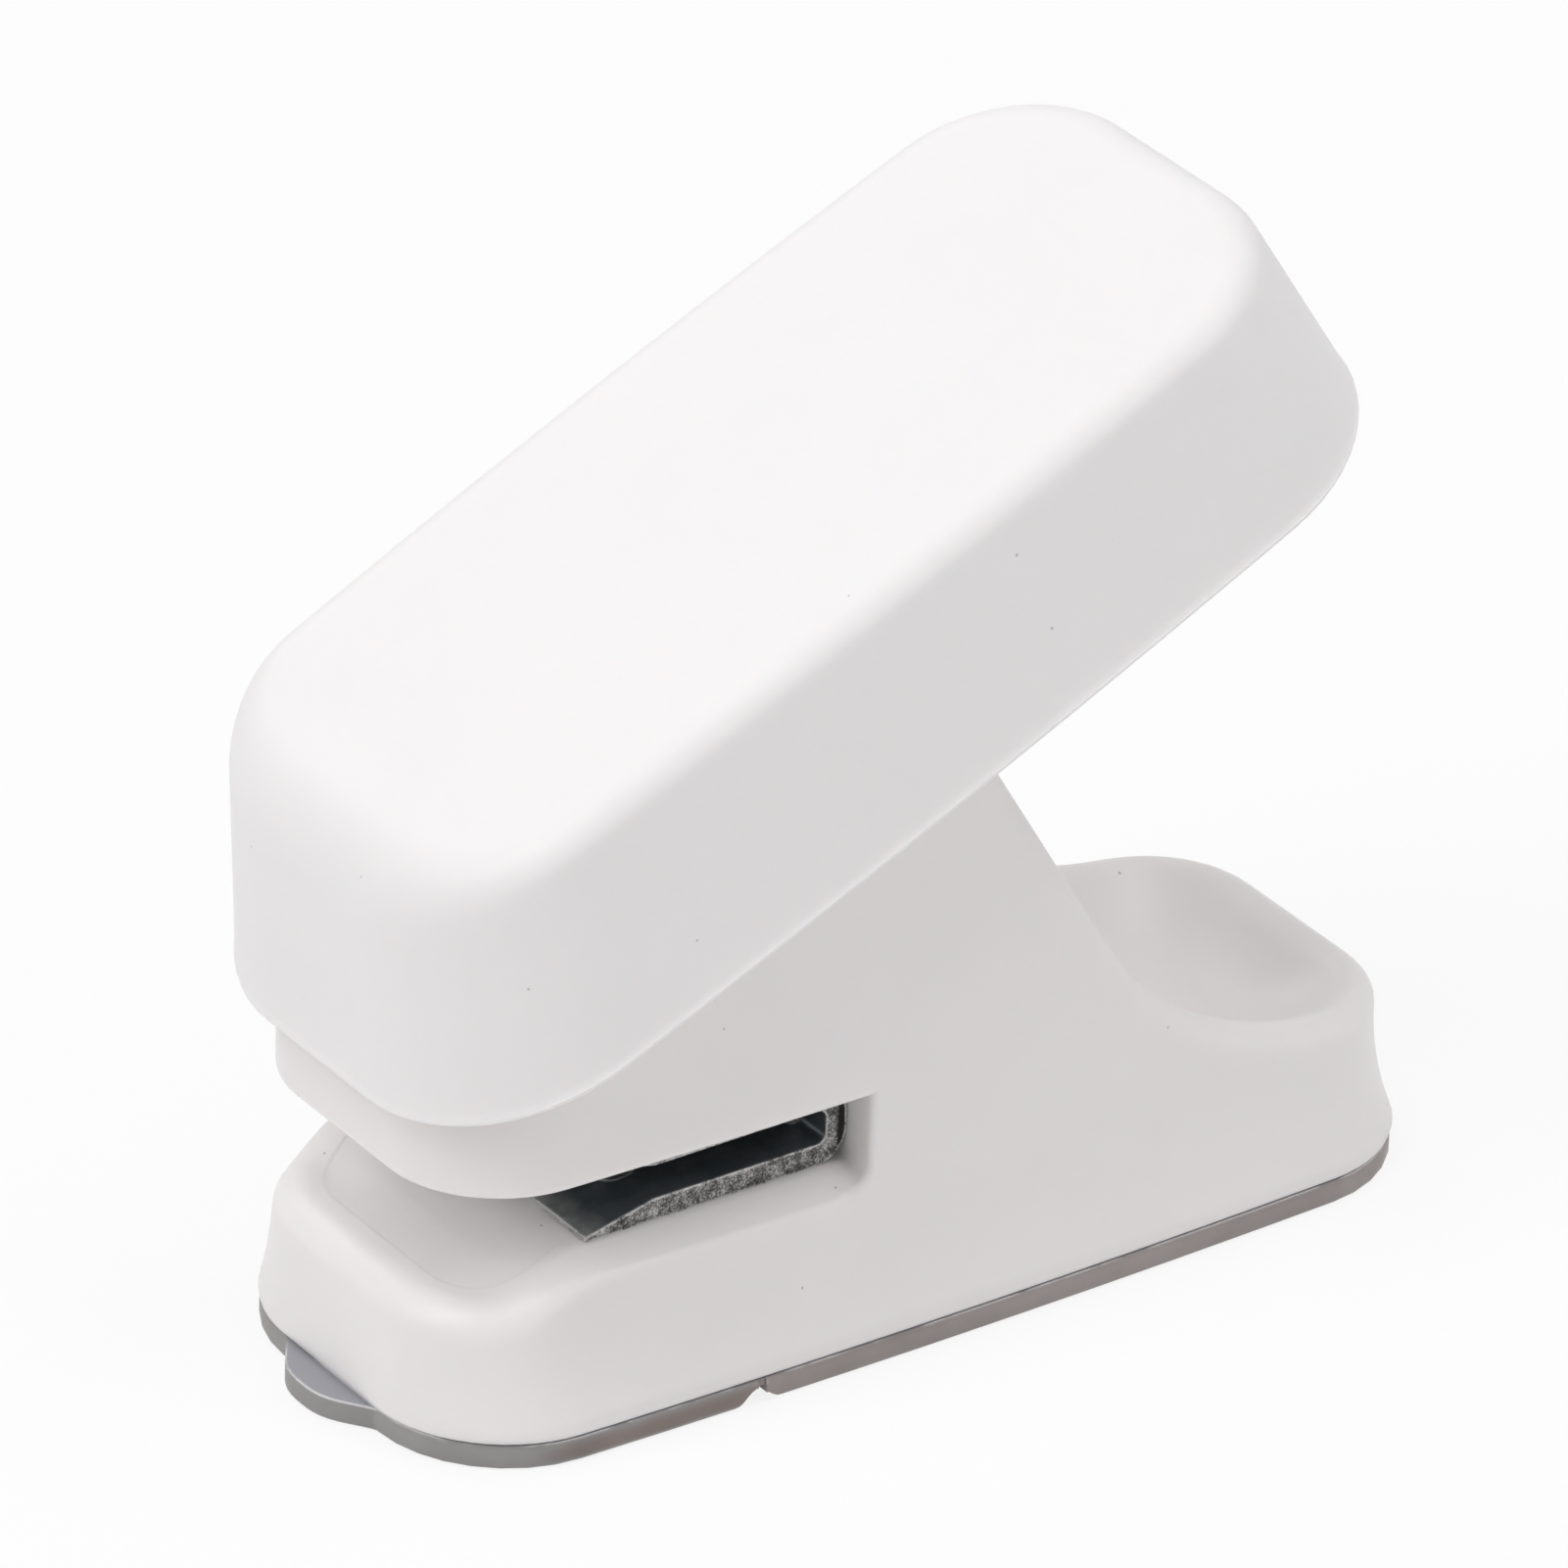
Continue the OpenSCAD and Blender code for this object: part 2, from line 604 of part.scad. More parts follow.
module cross_bore(x, z, r, half) {
    translate([x, half, z]) rotate([90, 0, 0]) cylinder(r = r, h = 2 * half);
}

// The steel yoke on the upper plate: pivot ears and the drive pin's guide slots
module yoke() {
    color("silver")
        difference() {
            intersection() {
                translate([ear_front, 0, ceiling_z]) rotate([90, 0, 90])
                    linear_extrude(yoke_rear_x - ear_front) channel(ear_out, yoke_top_z - ceiling_z, steel_t, 1.2);
                ear_block();
            }
            cross_bore(pivot_x, pivot_z, pivot_d / 2 + pin_fit, yoke_w);
            pin_slot(punch_x, drive_z - stroke - slot_play, drive_z + slot_play, drive_d / 2 + pin_fit, yoke_w);
            translate([0, 0, ceiling_z - over_cut]) linear_extrude(steel_t + 2 * over_cut) mushroom(punch_fit);
            for (x = yoke_screw_x, y = [-yoke_screw_y, yoke_screw_y])
                translate([x, y, ceiling_z - over_cut])
                    cylinder(r = yoke_screw_r + 0.15, h = steel_t + 2 * over_cut);
        }
}

// Four screws down through the yoke into the strip's upper plate
module yoke_screws() {
    color("silver")
        for (x = yoke_screw_x, y = [-yoke_screw_y, yoke_screw_y])
            translate([x, y, yoke_floor]) rotate([180, 0, 0])
                pan_screw(yoke_screw_r, yoke_head_r, yoke_head_h, 2 * steel_t - 0.2);
}

// A straight pin along Y with a clip groove near each end
module grooved_pin(x, z, r) {
    translate([x, 0, z]) rotate([90, 0, 0])
        difference() {
            cylinder(r = r, h = 2 * pin_end, center = true);
            for (s = [-1, 1])
                translate([0, 0, s * (arm_out + clip_gap + clip_t / 2)]) difference() {
                    cylinder(r = r + 1, h = groove_w, center = true);
                    cylinder(r = r - groove_in, h = groove_w + 1, center = true);
                }
        }
}

// A flat open ring for each end of a pin
module clip_pair(x, z, r) {
    for (s = [-1, 1])
        translate([x, s * (arm_out + clip_gap + clip_t / 2), z]) rotate([90, 0, 0])
            difference() {
                cylinder(r = r + clip_wide, h = clip_t, center = true);
                cylinder(r = r - groove_in + 0.02, h = clip_t + 1, center = true);
                translate([-(r - groove_in) * 0.8, -r - 2, -clip_t]) cube([(r - groove_in) * 1.6, r + 2, clip_t * 2]);
            }
}

module pivot_pin() {
    color("silver") grooved_pin(pivot_x, pivot_z, pivot_d / 2);
}

module pivot_clips() {
    color("dimgray") clip_pair(pivot_x, pivot_z, pivot_d / 2);
}

module drive_pin() {
    color("silver") grooved_pin(punch_x, drive_z, drive_d / 2);
}

module drive_clips() {
    color("dimgray") clip_pair(punch_x, drive_z, drive_d / 2);
}

// Places children in the tilted lever's own frame
module in_lever() {
    translate([lever_x, 0, lever_z]) rotate([0, -lever_tilt, 0]) children();
}

// Side view of the lever arm's flanges, in the lever's frame
module flange_side() {
    pu = pivot_u;
    pw = pivot_w;
    du = pivot_u + drive_u;
    dw = pivot_w + drive_w;
    slim = du + 6;
    slim_h = 0.3;
    sink = 0.5;
    translate([pu, pw]) circle(pivot_boss_r);
    translate([du, dw]) circle(drive_boss_r);
    translate([arm_front, pw]) square([pivot_boss_r * 2, web_top - pw]);
    polygon([[pu, pw - pivot_boss_r + sink], [du, dw - drive_boss_r + sink], [du + drive_boss_r - sink, dw],
        [slim, web_low - slim_h], [arm_rear, web_low - slim_h], [arm_rear, web_top], [pu, web_top]]);
}

// The steel arm inside the lever: a channel with pivot bores and drive slots
module lever_arm() {
    play = 0.35;
    slot_r = drive_d / 2 + pin_fit + 0.06;
    deep = web_top - pivot_w - drive_w + drive_boss_r;
    color("silver")
        in_lever()
            difference() {
                intersection() {
                    translate([arm_front, 0, web_top]) rotate([90, 0, 90]) mirror([0, 1, 0])
                        linear_extrude(arm_rear - arm_front) channel(arm_out, deep, steel_t, 1.2);
                    rotate([90, 0, 0]) linear_extrude(arm_out * 2 + 2, center = true) flange_side();
                }
                cross_bore(pivot_u, pivot_w, pivot_d / 2 + pin_fit, arm_out + 2);
                translate([pivot_u + drive_u, 0, pivot_w + drive_w]) rotate([0, lever_tilt + 90, 0])
                    pin_slot(0, -play, play, slot_r, arm_out + 2);
                for (u = lever_screw_u) translate([u, 0, web_low - 1]) cylinder(r = 1.4, h = steel_t + 2);
            }
}

function lever_ring(w, inset) =
    let (k = w / lever_h, a = (lever_l - (front_draft + rear_draft) * k) / 2 - inset)
    let (b = lever_w / 2 - side_draft * k - inset, mid = (front_draft - rear_draft) * k / 2)
    [for (p = outline(a, b, lever_r - side_draft * k - inset, lever_bow, 8, 9, 5)) [p.x + mid, p.y, w]];

// The hollow press lever, with ribs and screw bosses under its roof
module lever_cap() {
    top_steps = [0, 15, 30, 45, 60, 75, 90];
    in_round = 1.6;
    rib = 1.2;
    side_ribs = [2, 14, 30];
    side_rib_l = 7;
    boss_r = 2.8;
    shoulder = lever_h - lever_round;
    outer = concat(
        [lever_ring(0, 0.3), lever_ring(0.35, 0.05)],
        [for (w = [0.9, 4, 8]) lever_ring(w, 0)],
        [for (a = top_steps) lever_ring(shoulder + lever_round * sin(a), lever_round * (1 - cos(a)))],
        [for (s = [0.35, 0.7, 0.95]) let (in = lever_round + s * 11)
            [for (p = lever_ring(lever_h, in)) p + [0, 0, lever_crown * ease(s)]]]);
    inner = concat(
        [lever_ring(0, lever_wall - 0.3), lever_ring(1, lever_wall), lever_ring(6, lever_wall)],
        [for (a = [0, 30, 60, 90])
            lever_ring(roof_in - in_round + in_round * sin(a), lever_wall + in_round * (1 - cos(a)))],
        [lever_ring(roof_in, lever_wall + 8)]);
    rear_u = lever_l / 2 - rear_draft - lever_wall;
    cross_half = lever_w / 2 - side_draft - lever_wall - 1;
    tail = rear_u - arm_rear;
    color("white")
        in_lever() {
            difference() {
                union() {
                    cup(outer, inner, 2);
                    for (u = lever_screw_u)
                        translate([u, 0, web_top]) cylinder(r = boss_r, h = lever_h - web_top - 1);
                }
                for (u = lever_screw_u)
                    translate([u, 0, web_top - 1]) cylinder(r = 1.05, h = roof_in - web_top + 1.6);
            }
            for (s = [-1, 1], u = side_ribs)
                soft_block(arm_front + u, arm_front + u + side_rib_l, s * (arm_out + 0.75) - rib / 2, s * (arm_out + 0.75) + rib / 2,
                           web_low + 0.6, roof_in + 0.6, 0.4);
            for (u = [arm_rear + 0.16 * tail, arm_rear + 0.55 * tail])
                soft_block(u, u + rib, -cross_half, cross_half, roof_in - 2.4, roof_in + 0.6, 0.4);
            soft_block(arm_rear + 0.16 * tail, rear_u + 0.8, -rib / 2, rib / 2, roof_in - 2.4, roof_in + 0.6, 0.4);
        }
}

// Two screws up through the arm's web into the lever's bosses
module lever_screws() {
    color("silver")
        in_lever()
            for (u = lever_screw_u)
                translate([u, 0, web_low])
                    pan_screw(lever_screw_r, lever_head_r, lever_head_h, steel_t + roof_in - web_top);
}

// The mushroom punch with a hollow ground end and a flat tang
module punch() {
    grind_r = 14;
    color("gray")
        difference() {
            union() {
                translate([0, 0, punch_low]) linear_extrude(cross_low - punch_low) mushroom(0);
                translate([punch_x - tang_l / 2, -tang_t / 2, cross_low - 0.5])
                    cube([tang_l, tang_t, tang_top - cross_low + 0.5]);
            }
            translate([punch_x, 0, punch_low - grind_r + 0.6]) rotate([90, 0, 0])
                cylinder(r = grind_r, h = 4 * cap_r, center = true, $fn = 96);
            cross_bore(punch_x, blade_pin_z, blade_pin_r, cap_r * 2);
        }
}

// The slider that carries the punch and the drive pin between the yoke's ears
module crosshead() {
    color("dimgray")
        difference() {
            translate([cross_x0, -cross_half_y, cross_low])
                cube([cross_x1 - cross_x0, 2 * cross_half_y, cross_top - cross_low]);
            translate([punch_x - tang_l / 2 - 0.1, -tang_t / 2 - 0.05, cross_low - 1])
                cube([tang_l + 0.2, tang_t + 0.1, tang_top - cross_low + 1.1]);
            cross_bore(punch_x, drive_z, drive_d / 2, cross_half_y + 1);
            cross_bore(punch_x, blade_pin_z, blade_pin_r, cross_half_y + 1);
            for (x = [cross_x0, cross_x1])
                translate([x, 0, cross_top]) rotate([90, 45, 0])
                    cube([cross_bevel, cross_bevel, 4 * cross_half_y], center = true);
        }
}

// The cross pin that holds the punch's tang in the slider
module blade_pin() {
    color("silver") cross_bore(punch_x, blade_pin_z, blade_pin_r - 0.01, cross_half_y - 0.1);
}

// Washer under the return spring
module spring_washer() {
    color("silver")
        translate([punch_x, 0, yoke_floor])
            difference() {
                cylinder(r = washer_out, h = washer_t);
                translate([0, 0, -1]) cylinder(r = washer_in, h = washer_t + 2);
            }
}

// The return spring around the punch, one unbroken wire
module return_spring() {
    sides = 6;
    per_turn = 10;
    n = round(spring_turns * per_turn);
    r = spring_wire / 2;
    rise = cross_low - spring_low - 2 * r - 0.1;
    rings = [for (i = [0:n])
        let (a = 360 * spring_turns * i / n, z = spring_low + r + 0.05 + rise * i / n)
        [for (k = [0:sides - 1]) let (b = -360 * k / sides)
            [punch_x + (spring_r + r * cos(b)) * cos(a), (spring_r + r * cos(b)) * sin(a), z + r * sin(b)]]];
    color("silver") skin(rings, 0);
}

// Rings of the soft cover's edge
cover_top = seam_z - seam_gap;

function cover_ring(inset, z) = [for (p = cover_outline(inset)) [p.x, p.y, z]];

module cover_plate() {
    skin(concat(
        [for (a = [0, 30, 60, 90])
            cover_ring(0.1 + cover_round * (1 - sin(a)), cover_round * (1 - cos(a)))],
        [cover_ring(0.1, cover_top - 0.3), cover_ring(0.25, cover_top)]), 1);
}

// The lip that stands up inside the seam, with crush ribs cut from its corners
module cover_lip() {
    outer = body_in + wall + lip_gap;
    difference() {
        translate([0, 0, cover_top - 0.2]) linear_extrude(lip_h + 0.2) polygon(cover_outline(outer));
        translate([0, 0, cover_top]) linear_extrude(lip_h + 1) polygon(cover_outline(outer + lip_t));
    }
}

// Everything on the cover's front side of the hinge, or its rear side, with the notch arched up to the bead
module cover_half(front) {
    far = base_l;
    gap = hinge_d / 2 + 0.02;
    x = front ? hinge_x - gap : hinge_x + gap;
    lip_x = front ? hinge_x - 2.4 : hinge_x + 2.4;
    side = front ? -1 : 1;
    sweep = front ? notch_front : notch_rear;
    deep = front ? hinge_z - 0.22 : hinge_z - 0.6;
    function arch(t) = deep * (front ? (1 + cos(180 * t)) / 2 : pow(1 - t, 2));
    difference() {
        intersection() {
            cover_plate();
            translate([front ? x - far : x, -far, -1]) cube([far, 2 * far, far]);
        }
        rotate([90, 0, 0]) linear_extrude(2 * far, center = true)
            polygon(concat([[x - side, -1], [x - side, deep]],
                [for (t = [0.1:0.15:1]) [x + side * sweep * t, arch(t)]],
                [[x + side * sweep, -1]]));
    }
    intersection() {
        cover_lip();
        translate([front ? lip_x - far : lip_x, -far, 0]) cube([far, 2 * far, far]);
    }
}

// The fixed rear part of the soft cover
module base_cover() {
    rib_y = [-7, 0, 7];
    rib_x0 = hinge_x + 6.7;
    rib_x1 = half_l - 8;
    bars = 5;
    pitch = (rib_x1 - rib_x0 - 2.5) / (bars - 1);
    color("gray") {
        cover_half(false);
        for (y = rib_y) soft_block(rib_x0, rib_x1, y - 0.5, y + 0.5, cover_top - 0.2, cover_top + 1.2, 0.4);
        for (i = [0:bars - 1])
            let (x = rib_x0 + 0.7 + pitch * i)
                soft_block(x, x + 1, -7.2, 7.2, cover_top - 0.2, cover_top + 1, 0.3);
    }
}

// The pull tab: a wave on the front edge that runs out into the cover on both sides
module pull_tab() {
    low = 0.12;
    sink = 0.5;
    root = 4;
    steps = 20;
    fullness = 1.4;
    ys = [for (i = [0:steps]) tab_foot * (2 * i / steps - 1)];
    translate([0, 0, low]) linear_extrude(cover_top - 0.05 - low)
        polygon(concat([[front_x + root, -tab_foot]],
            [for (y = ys)
                [front_x + sink - (tab_reach + sink) * (1 + cos(180 * pow(abs(y) / tab_foot, fullness))) / 2, y]],
            [[front_x + root, tab_foot]]));
}

// The hinged front part of the soft cover, with its pull tab
module chip_door() {
    bar_half = 6.2;
    rib_x0 = front_x + 7;
    rib_x1 = hinge_x - 3.8;
    bars = 5;
    pitch = (rib_x1 - rib_x0 - 2.4) / (bars - 1);
    color("gray") {
        cover_half(true);
        pull_tab();
        for (y = [-6, 0, 6]) soft_block(rib_x0, rib_x1, y - 0.5, y + 0.5, cover_top - 0.2, cover_top + 0.8, 0.4);
        for (i = [0:bars - 1])
            let (x = rib_x0 + 0.8 + pitch * i)
                soft_block(x, x + 1, -bar_half, bar_half, cover_top - 0.2, cover_top + 0.6, 0.3);
    }
}

// The thin bead of the living hinge
module hinge_web() {
    color("gray") cross_bore(hinge_x, hinge_z, hinge_d / 2, hinge_half);
}

housing();
die_frame();
frame_screws();
yoke();
yoke_screws();
pivot_pin();
pivot_clips();
lever_cap();
lever_arm();
lever_screws();
punch();
crosshead();
blade_pin();
drive_pin();
drive_clips();
return_spring();
spring_washer();
base_cover();
chip_door();
hinge_web();
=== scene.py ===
from math import atan, cos, hypot, pi, radians, sin, sqrt

import bmesh
import bpy
from mathutils import Matrix, Vector


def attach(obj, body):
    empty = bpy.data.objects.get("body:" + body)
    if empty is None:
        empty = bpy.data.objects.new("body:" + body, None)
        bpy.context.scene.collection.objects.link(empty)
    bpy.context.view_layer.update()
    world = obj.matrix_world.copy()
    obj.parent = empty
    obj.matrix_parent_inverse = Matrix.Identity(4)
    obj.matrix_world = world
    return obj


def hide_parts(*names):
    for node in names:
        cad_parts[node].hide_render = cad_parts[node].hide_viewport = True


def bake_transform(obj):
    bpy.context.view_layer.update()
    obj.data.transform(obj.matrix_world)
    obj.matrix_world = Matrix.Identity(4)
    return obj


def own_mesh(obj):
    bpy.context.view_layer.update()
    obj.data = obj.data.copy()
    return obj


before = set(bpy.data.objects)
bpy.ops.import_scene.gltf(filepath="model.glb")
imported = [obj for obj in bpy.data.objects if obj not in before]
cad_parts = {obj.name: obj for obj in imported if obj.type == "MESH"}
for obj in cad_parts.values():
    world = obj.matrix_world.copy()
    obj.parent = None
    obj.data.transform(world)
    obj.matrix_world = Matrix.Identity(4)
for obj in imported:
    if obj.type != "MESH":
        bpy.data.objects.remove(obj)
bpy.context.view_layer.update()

# Sizes are in millimetres and degrees, those of floor and lights in metres.
# +X is the rear, -X the open throat, +Z up.
MM = 0.001

# Base
HALF_L = 38
HALF_W = 14.3
BASE_BOW = 0.86
BASE_CORNER = 9.1
SEAM_Z = 1.8
FLARE = 1.6
FLARE_H = 8.2
LIP_H = 0.5
FRONT_LEAD = 1
WALL = 2

# Throat
BED_Z = 10.35
PAD_Z = 13
PAD_START = -33.5
PAD_RUN = 7
FALL = 0.62
FALL_REACH = 2.3
FALL_START = -32.5
FALL_RUN = 6
PANEL_STEP = 0.06
PANEL_MARGIN = 3
PANEL_END = -29
PANEL_EDGE = 0.25
PANEL_FADE = 3
SLOT_END = -7.1
BED_ROUND = 0.9
FRONT_ROUND = 2.2
ROUND_START = -24
ROUND_RUN = 10
HEAD_ROUND = 0.7
END_ROUND = 0.5
SLOT_FILLET = 1.6
STRIP_BACK = -7.2
STRIP_TIP = -26.6

# The ceiling lies a hair above the yoke's flush plate, which shows in it
CEILING_Z = 18.43

# Room in the bed under the strip, where the chips fall through
CHUTE_FRONT = -24.5
CHUTE_REAR = -9.5
CHUTE_HALF = 6

# Hinge of the chip door: a thin web of the same rubber
HINGE_X = -15.7
HINGE_Z = 1.4
WEB_L = 1.5
WEB_HALF = 14.7
WEB_T = 0.46
WEB_CUTS = 9

# Neck and scoop
RIM_Z = 12.1
SCOOP_X = 31.4
SCOOP_R = 23.8
NECK_SLOPE = 1.63
NECK_ROUND_Z = 40
NECK_TOP_R = 6
TOP_FALL = 0.16
RIM_ROUND = 1.4
BOWL_DEPTH = 4.2
BOWL_WIDE = 9
BOWL_RUN = 17
BOWL_EDGE = 0.16
BOWL_CORNER = 4.5
NECK_DISH = 1
WELL_FLOOR = 20.4
WELL_GAP = 0.4
REAR_EDGE_Z = 9.6
REAR_EDGE_RUN = 24

# Lever
LEVER_L = 77.5
LEVER_W = 34.4
LEVER_BOW = 0.88
LEVER_CORNER = 11.6
LEVER_H = 15.9
LEVER_TILT = 25.3
LEVER_OVER = 1.28
LEVER_FRONT_Z = 24.15
FRONT_DRAFT = 6.3
REAR_DRAFT = 2.2
SIDE_DRAFT = 2
LEVER_ROUND = 1.7
LEVER_FRONT_ROUND = 3.6
LEVER_REAR_ROUND = 2.3
LEVER_CROWN = 0.3
LEVER_WALL = 1.6
LEVER_SKIN = 0.055
PARTING_LIP = 0.07
TOP_BAND = 10.5

# Where the neck's straight slope meets the sweep below it and the round top above it
NECK_GROW = sqrt(1 + NECK_SLOPE ** 2)
NECK_ARC_X = SCOOP_X - SCOOP_R * NECK_SLOPE / NECK_GROW
NECK_ARC_Z = RIM_Z + SCOOP_R - SCOOP_R / NECK_GROW
NECK_ROUND_X = NECK_ARC_X - (NECK_ROUND_Z - NECK_ARC_Z) / NECK_SLOPE
TOP_X = NECK_ROUND_X - NECK_TOP_R * NECK_SLOPE / NECK_GROW
TOP_Z = NECK_ROUND_Z - NECK_TOP_R / NECK_GROW + NECK_TOP_R
WELL_X = TOP_X + WELL_GAP

# Spacing of the points around the outlines
CORNER_STEPS = 14
END_STEPS = 8
ARC_STEPS = 6
SWEEP_STEPS = 42
NECK_STEPS = 2
THROAT_STEPS = 24
LEVER_STEPS = 24
LEAST_FLAT = 0.05
LEAST_CORNER = 0.3

# Rows of the housing's skin from the foot up: insets, rises and shares of the way to the next edge
FOOT_ROWS = ((1.2, 0), (0.35, 0), (0.2, 0.05), (0.08, 0.2), (0, LIP_H))
SKIRT_SHARES = (0.08, 0.16, 0.25, 0.35, 0.46, 0.58, 0.72, 0.86, 1)
SLOT_SHARES = (0.25, 0.5, 0.75, 1)
HEAD_SHARES = (0.06, 0.15, 0.3, 0.45, 0.6, 0.75, 0.9, 1)
RIM_TURNS = (15, 30, 45, 60, 75, 90)
CREST_INSETS = (1.5, 1.62, 1.78)
DISH_INSETS = (WALL, 2.3, 2.7, 3.3, 4.1, 5, 6, 7.2, 8.4, 9.6, 10.8, 12)

# Rows of the slot from its edge inward
ROLL_SHARES = (0.12, 0.25, 0.37, 0.5, 0.63, 0.75, 0.88, 1)
REACH_SHARES = (0.2, 0.4, 0.6, 0.72, 0.86, 1)
PANEL_STEPS = (0.05, 0.1, 0.15, 0.2, 0.25, 0.4, 0.9, 1.7, 2.7, 3.8)

# Rows of the lever's skin: height and inset round the lower edge, then shares of the way up and across
LEVER_EDGE = (
    (0.4, LEVER_WALL - 0.1),
    (0, LEVER_WALL - 0.4),
    (0, 0.3),
    (0.06, 0.14),
    (0.2, 0.03),
    (0.36, 0),
    (0.42, PARTING_LIP),
)
LEVER_SHARES = (0.07, 0.15, 0.26, 0.37, 0.48, 0.6, 0.71, 0.82, 0.92)
ROUND_STEPS = 12
CROWN_SHARES = (0.08, 0.2, 0.35, 0.5, 0.65, 0.8, 1)

# Tolerances, and the angles in degrees past which an edge is shaded as a crease
PROBE = 0.05
HAIR = 0.001
LEVEL = 0.01
MERGE_GAP = 0.0005
CHAMBER_SLACK = 0.1
PAD_SLACK = 0.05
SHELL_SLACK = 0.4
SHELL_TOP = 0.7
SHELL_LOW = 0.9
NODE_CREASE = 34
SKIN_CREASE = 50

scene = bpy.context.scene


def ease(t):
    c = min(1, max(0, t))
    return c * c * (3 - 2 * c)


def spread(start, end, steps):
    return [start + (end - start) * i / steps for i in range(steps)]


# Side view of the housing

def rim(x):
    if x > SCOOP_X:
        return RIM_Z
    if x > NECK_ARC_X:
        return RIM_Z + SCOOP_R - sqrt(SCOOP_R ** 2 - (SCOOP_X - x) ** 2)
    if x > NECK_ROUND_X:
        return NECK_ARC_Z + (NECK_ARC_X - x) * NECK_SLOPE
    if x > TOP_X:
        return TOP_Z - NECK_TOP_R + sqrt(NECK_TOP_R ** 2 - (x - TOP_X) ** 2)
    return TOP_Z - (TOP_X - x) * TOP_FALL


def slope_grow(x):
    rise = (rim(x + PROBE) - rim(x - PROBE)) / (2 * PROBE)
    return sqrt(1 + rise ** 2)


def crest(t):
    return hypot(t, BOWL_EDGE) - BOWL_EDGE


def dish(x, s):
    depth = NECK_DISH + (BOWL_DEPTH - NECK_DISH) * ease((x - NECK_ARC_X) / BOWL_RUN)
    t = max(0, s - RIM_ROUND) / BOWL_WIDE
    return depth * (1 - (1 - min(1, crest(t) / crest(1))) ** 2)


# The bed rises to the die strip, and beside the strip it falls away toward the rim

def bed(x):
    return BED_Z + (PAD_Z - BED_Z) * ease((x - PAD_START) / PAD_RUN)


def bed_fall(x):
    return FALL * ease((x - FALL_START) / FALL_RUN)


def bed_top(x, s):
    sunk = ease((s - PANEL_MARGIN) / PANEL_EDGE) * (1 - ease((x - PANEL_END) / PANEL_FADE))
    return bed(x) - max(0, FALL_REACH - s) * bed_fall(x) - PANEL_STEP * sunk


# The bed's rounded edge: its radius, how far it turns, where it meets the bed, its height at each turn

def bed_round(x):
    return BED_ROUND + (FRONT_ROUND - BED_ROUND) * ease((ROUND_START - x) / ROUND_RUN)


def edge_turn(x):
    return pi / 2 - atan(bed_fall(x))


def edge_reach(x):
    return bed_round(x) * (1 - cos(edge_turn(x)))


def edge_height(x, edge, share):
    last = edge_turn(x)
    return bed_top(x, edge * (1 - cos(last))) - edge * (sin(last) - sin(last * share))


def flare_inset(z):
    t = min(1, max(0, (z - SEAM_Z - LIP_H) / FLARE_H))
    return FLARE * (1 - (1 - t) ** 2)


# Outlines: half rounded rectangles with bowed long sides, from the rear's middle to the front's

def half_outline(a, b, corner, bow, side):
    r = max(min(corner, b - LEAST_FLAT), LEAST_CORNER)
    xs = a - r
    ys = b - r
    turn = [pi / 2 * i / CORNER_STEPS for i in range(CORNER_STEPS + 1)]
    points = [(a, y) for y in spread(0, ys, END_STEPS)]
    points += [(xs + r * cos(t), ys + r * sin(t)) for t in turn]
    points += [(xs * f, b) for f in side]
    points += [(-xs - r * sin(t), ys + r * cos(t)) for t in turn]
    points += [(-a, y) for y in reversed([ys * i / END_STEPS for i in range(END_STEPS)])]
    return [(x, y * (1 + bow / b * (1 - (x / a) ** 2))) for x, y in points]


def whole(half):
    return half + [(x, -y) for x, y in reversed(half[1:-1])]


# How far a point lies inside such an outline

def depth_inside(x, y, a, b, corner, bow):
    dx = abs(x) - a + corner
    dy = abs(y) - b - bow * (1 - (x / a) ** 2) + corner
    return corner - hypot(max(dx, 0), max(dy, 0)) - min(max(dx, dy), 0)


# Rings of mesh: each one is extruded from the last and laid on its outline

def ring_edges(bm, ring):
    return [bm.edges.get((v, ring[(i + 1) % len(ring)])) for i, v in enumerate(ring)]


def lay(ring, points):
    for v, p in zip(ring, points):
        v.co = Vector(p) * MM


def first_ring(bm, points):
    ring = bmesh.ops.create_circle(bm, segments=len(points), radius=MM)["verts"]
    lay(ring, points)
    return ring


def next_ring(bm, ring, points):
    made = bmesh.ops.extrude_edge_only(bm, edges=ring_edges(bm, ring))["geom"]
    fresh = {g for g in made if isinstance(g, bmesh.types.BMVert)}
    grown = [next(e.other_vert(v) for e in v.link_edges if e.other_vert(v) in fresh) for v in ring]
    lay(grown, points)
    return grown


def merge(bm):
    bmesh.ops.remove_doubles(bm, verts=bm.verts, dist=MERGE_GAP * MM)


def soften(bm, limit):
    for f in bm.faces:
        f.smooth = True
    for e in bm.edges:
        e.smooth = e.calc_face_angle(0) < radians(limit)


def finish_piece(name, bm, body, slot, material, *nodes):
    mesh = bpy.data.meshes.new(name)
    bm.to_mesh(mesh)
    bm.free()
    piece = bpy.data.objects.new(name, mesh)
    scene.collection.objects.link(piece)
    mesh.materials.append(material)
    if body:
        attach(piece, body)
    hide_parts(*nodes)
    return piece


# A copy of a CAD node's mesh, merged and smooth-shaded, with only the faces that pass the test

def node_copy(node, keep=None):
    bm = bmesh.new()
    bm.from_mesh(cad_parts[node].data)
    merge(bm)
    if keep:
        bmesh.ops.delete(bm, geom=[f for f in bm.faces if not keep(f)], context="FACES")
    soften(bm, NODE_CREASE)
    return bm


# The housing's columns: rear corner, sweep, neck, the slot's rounded end, throat, front corner

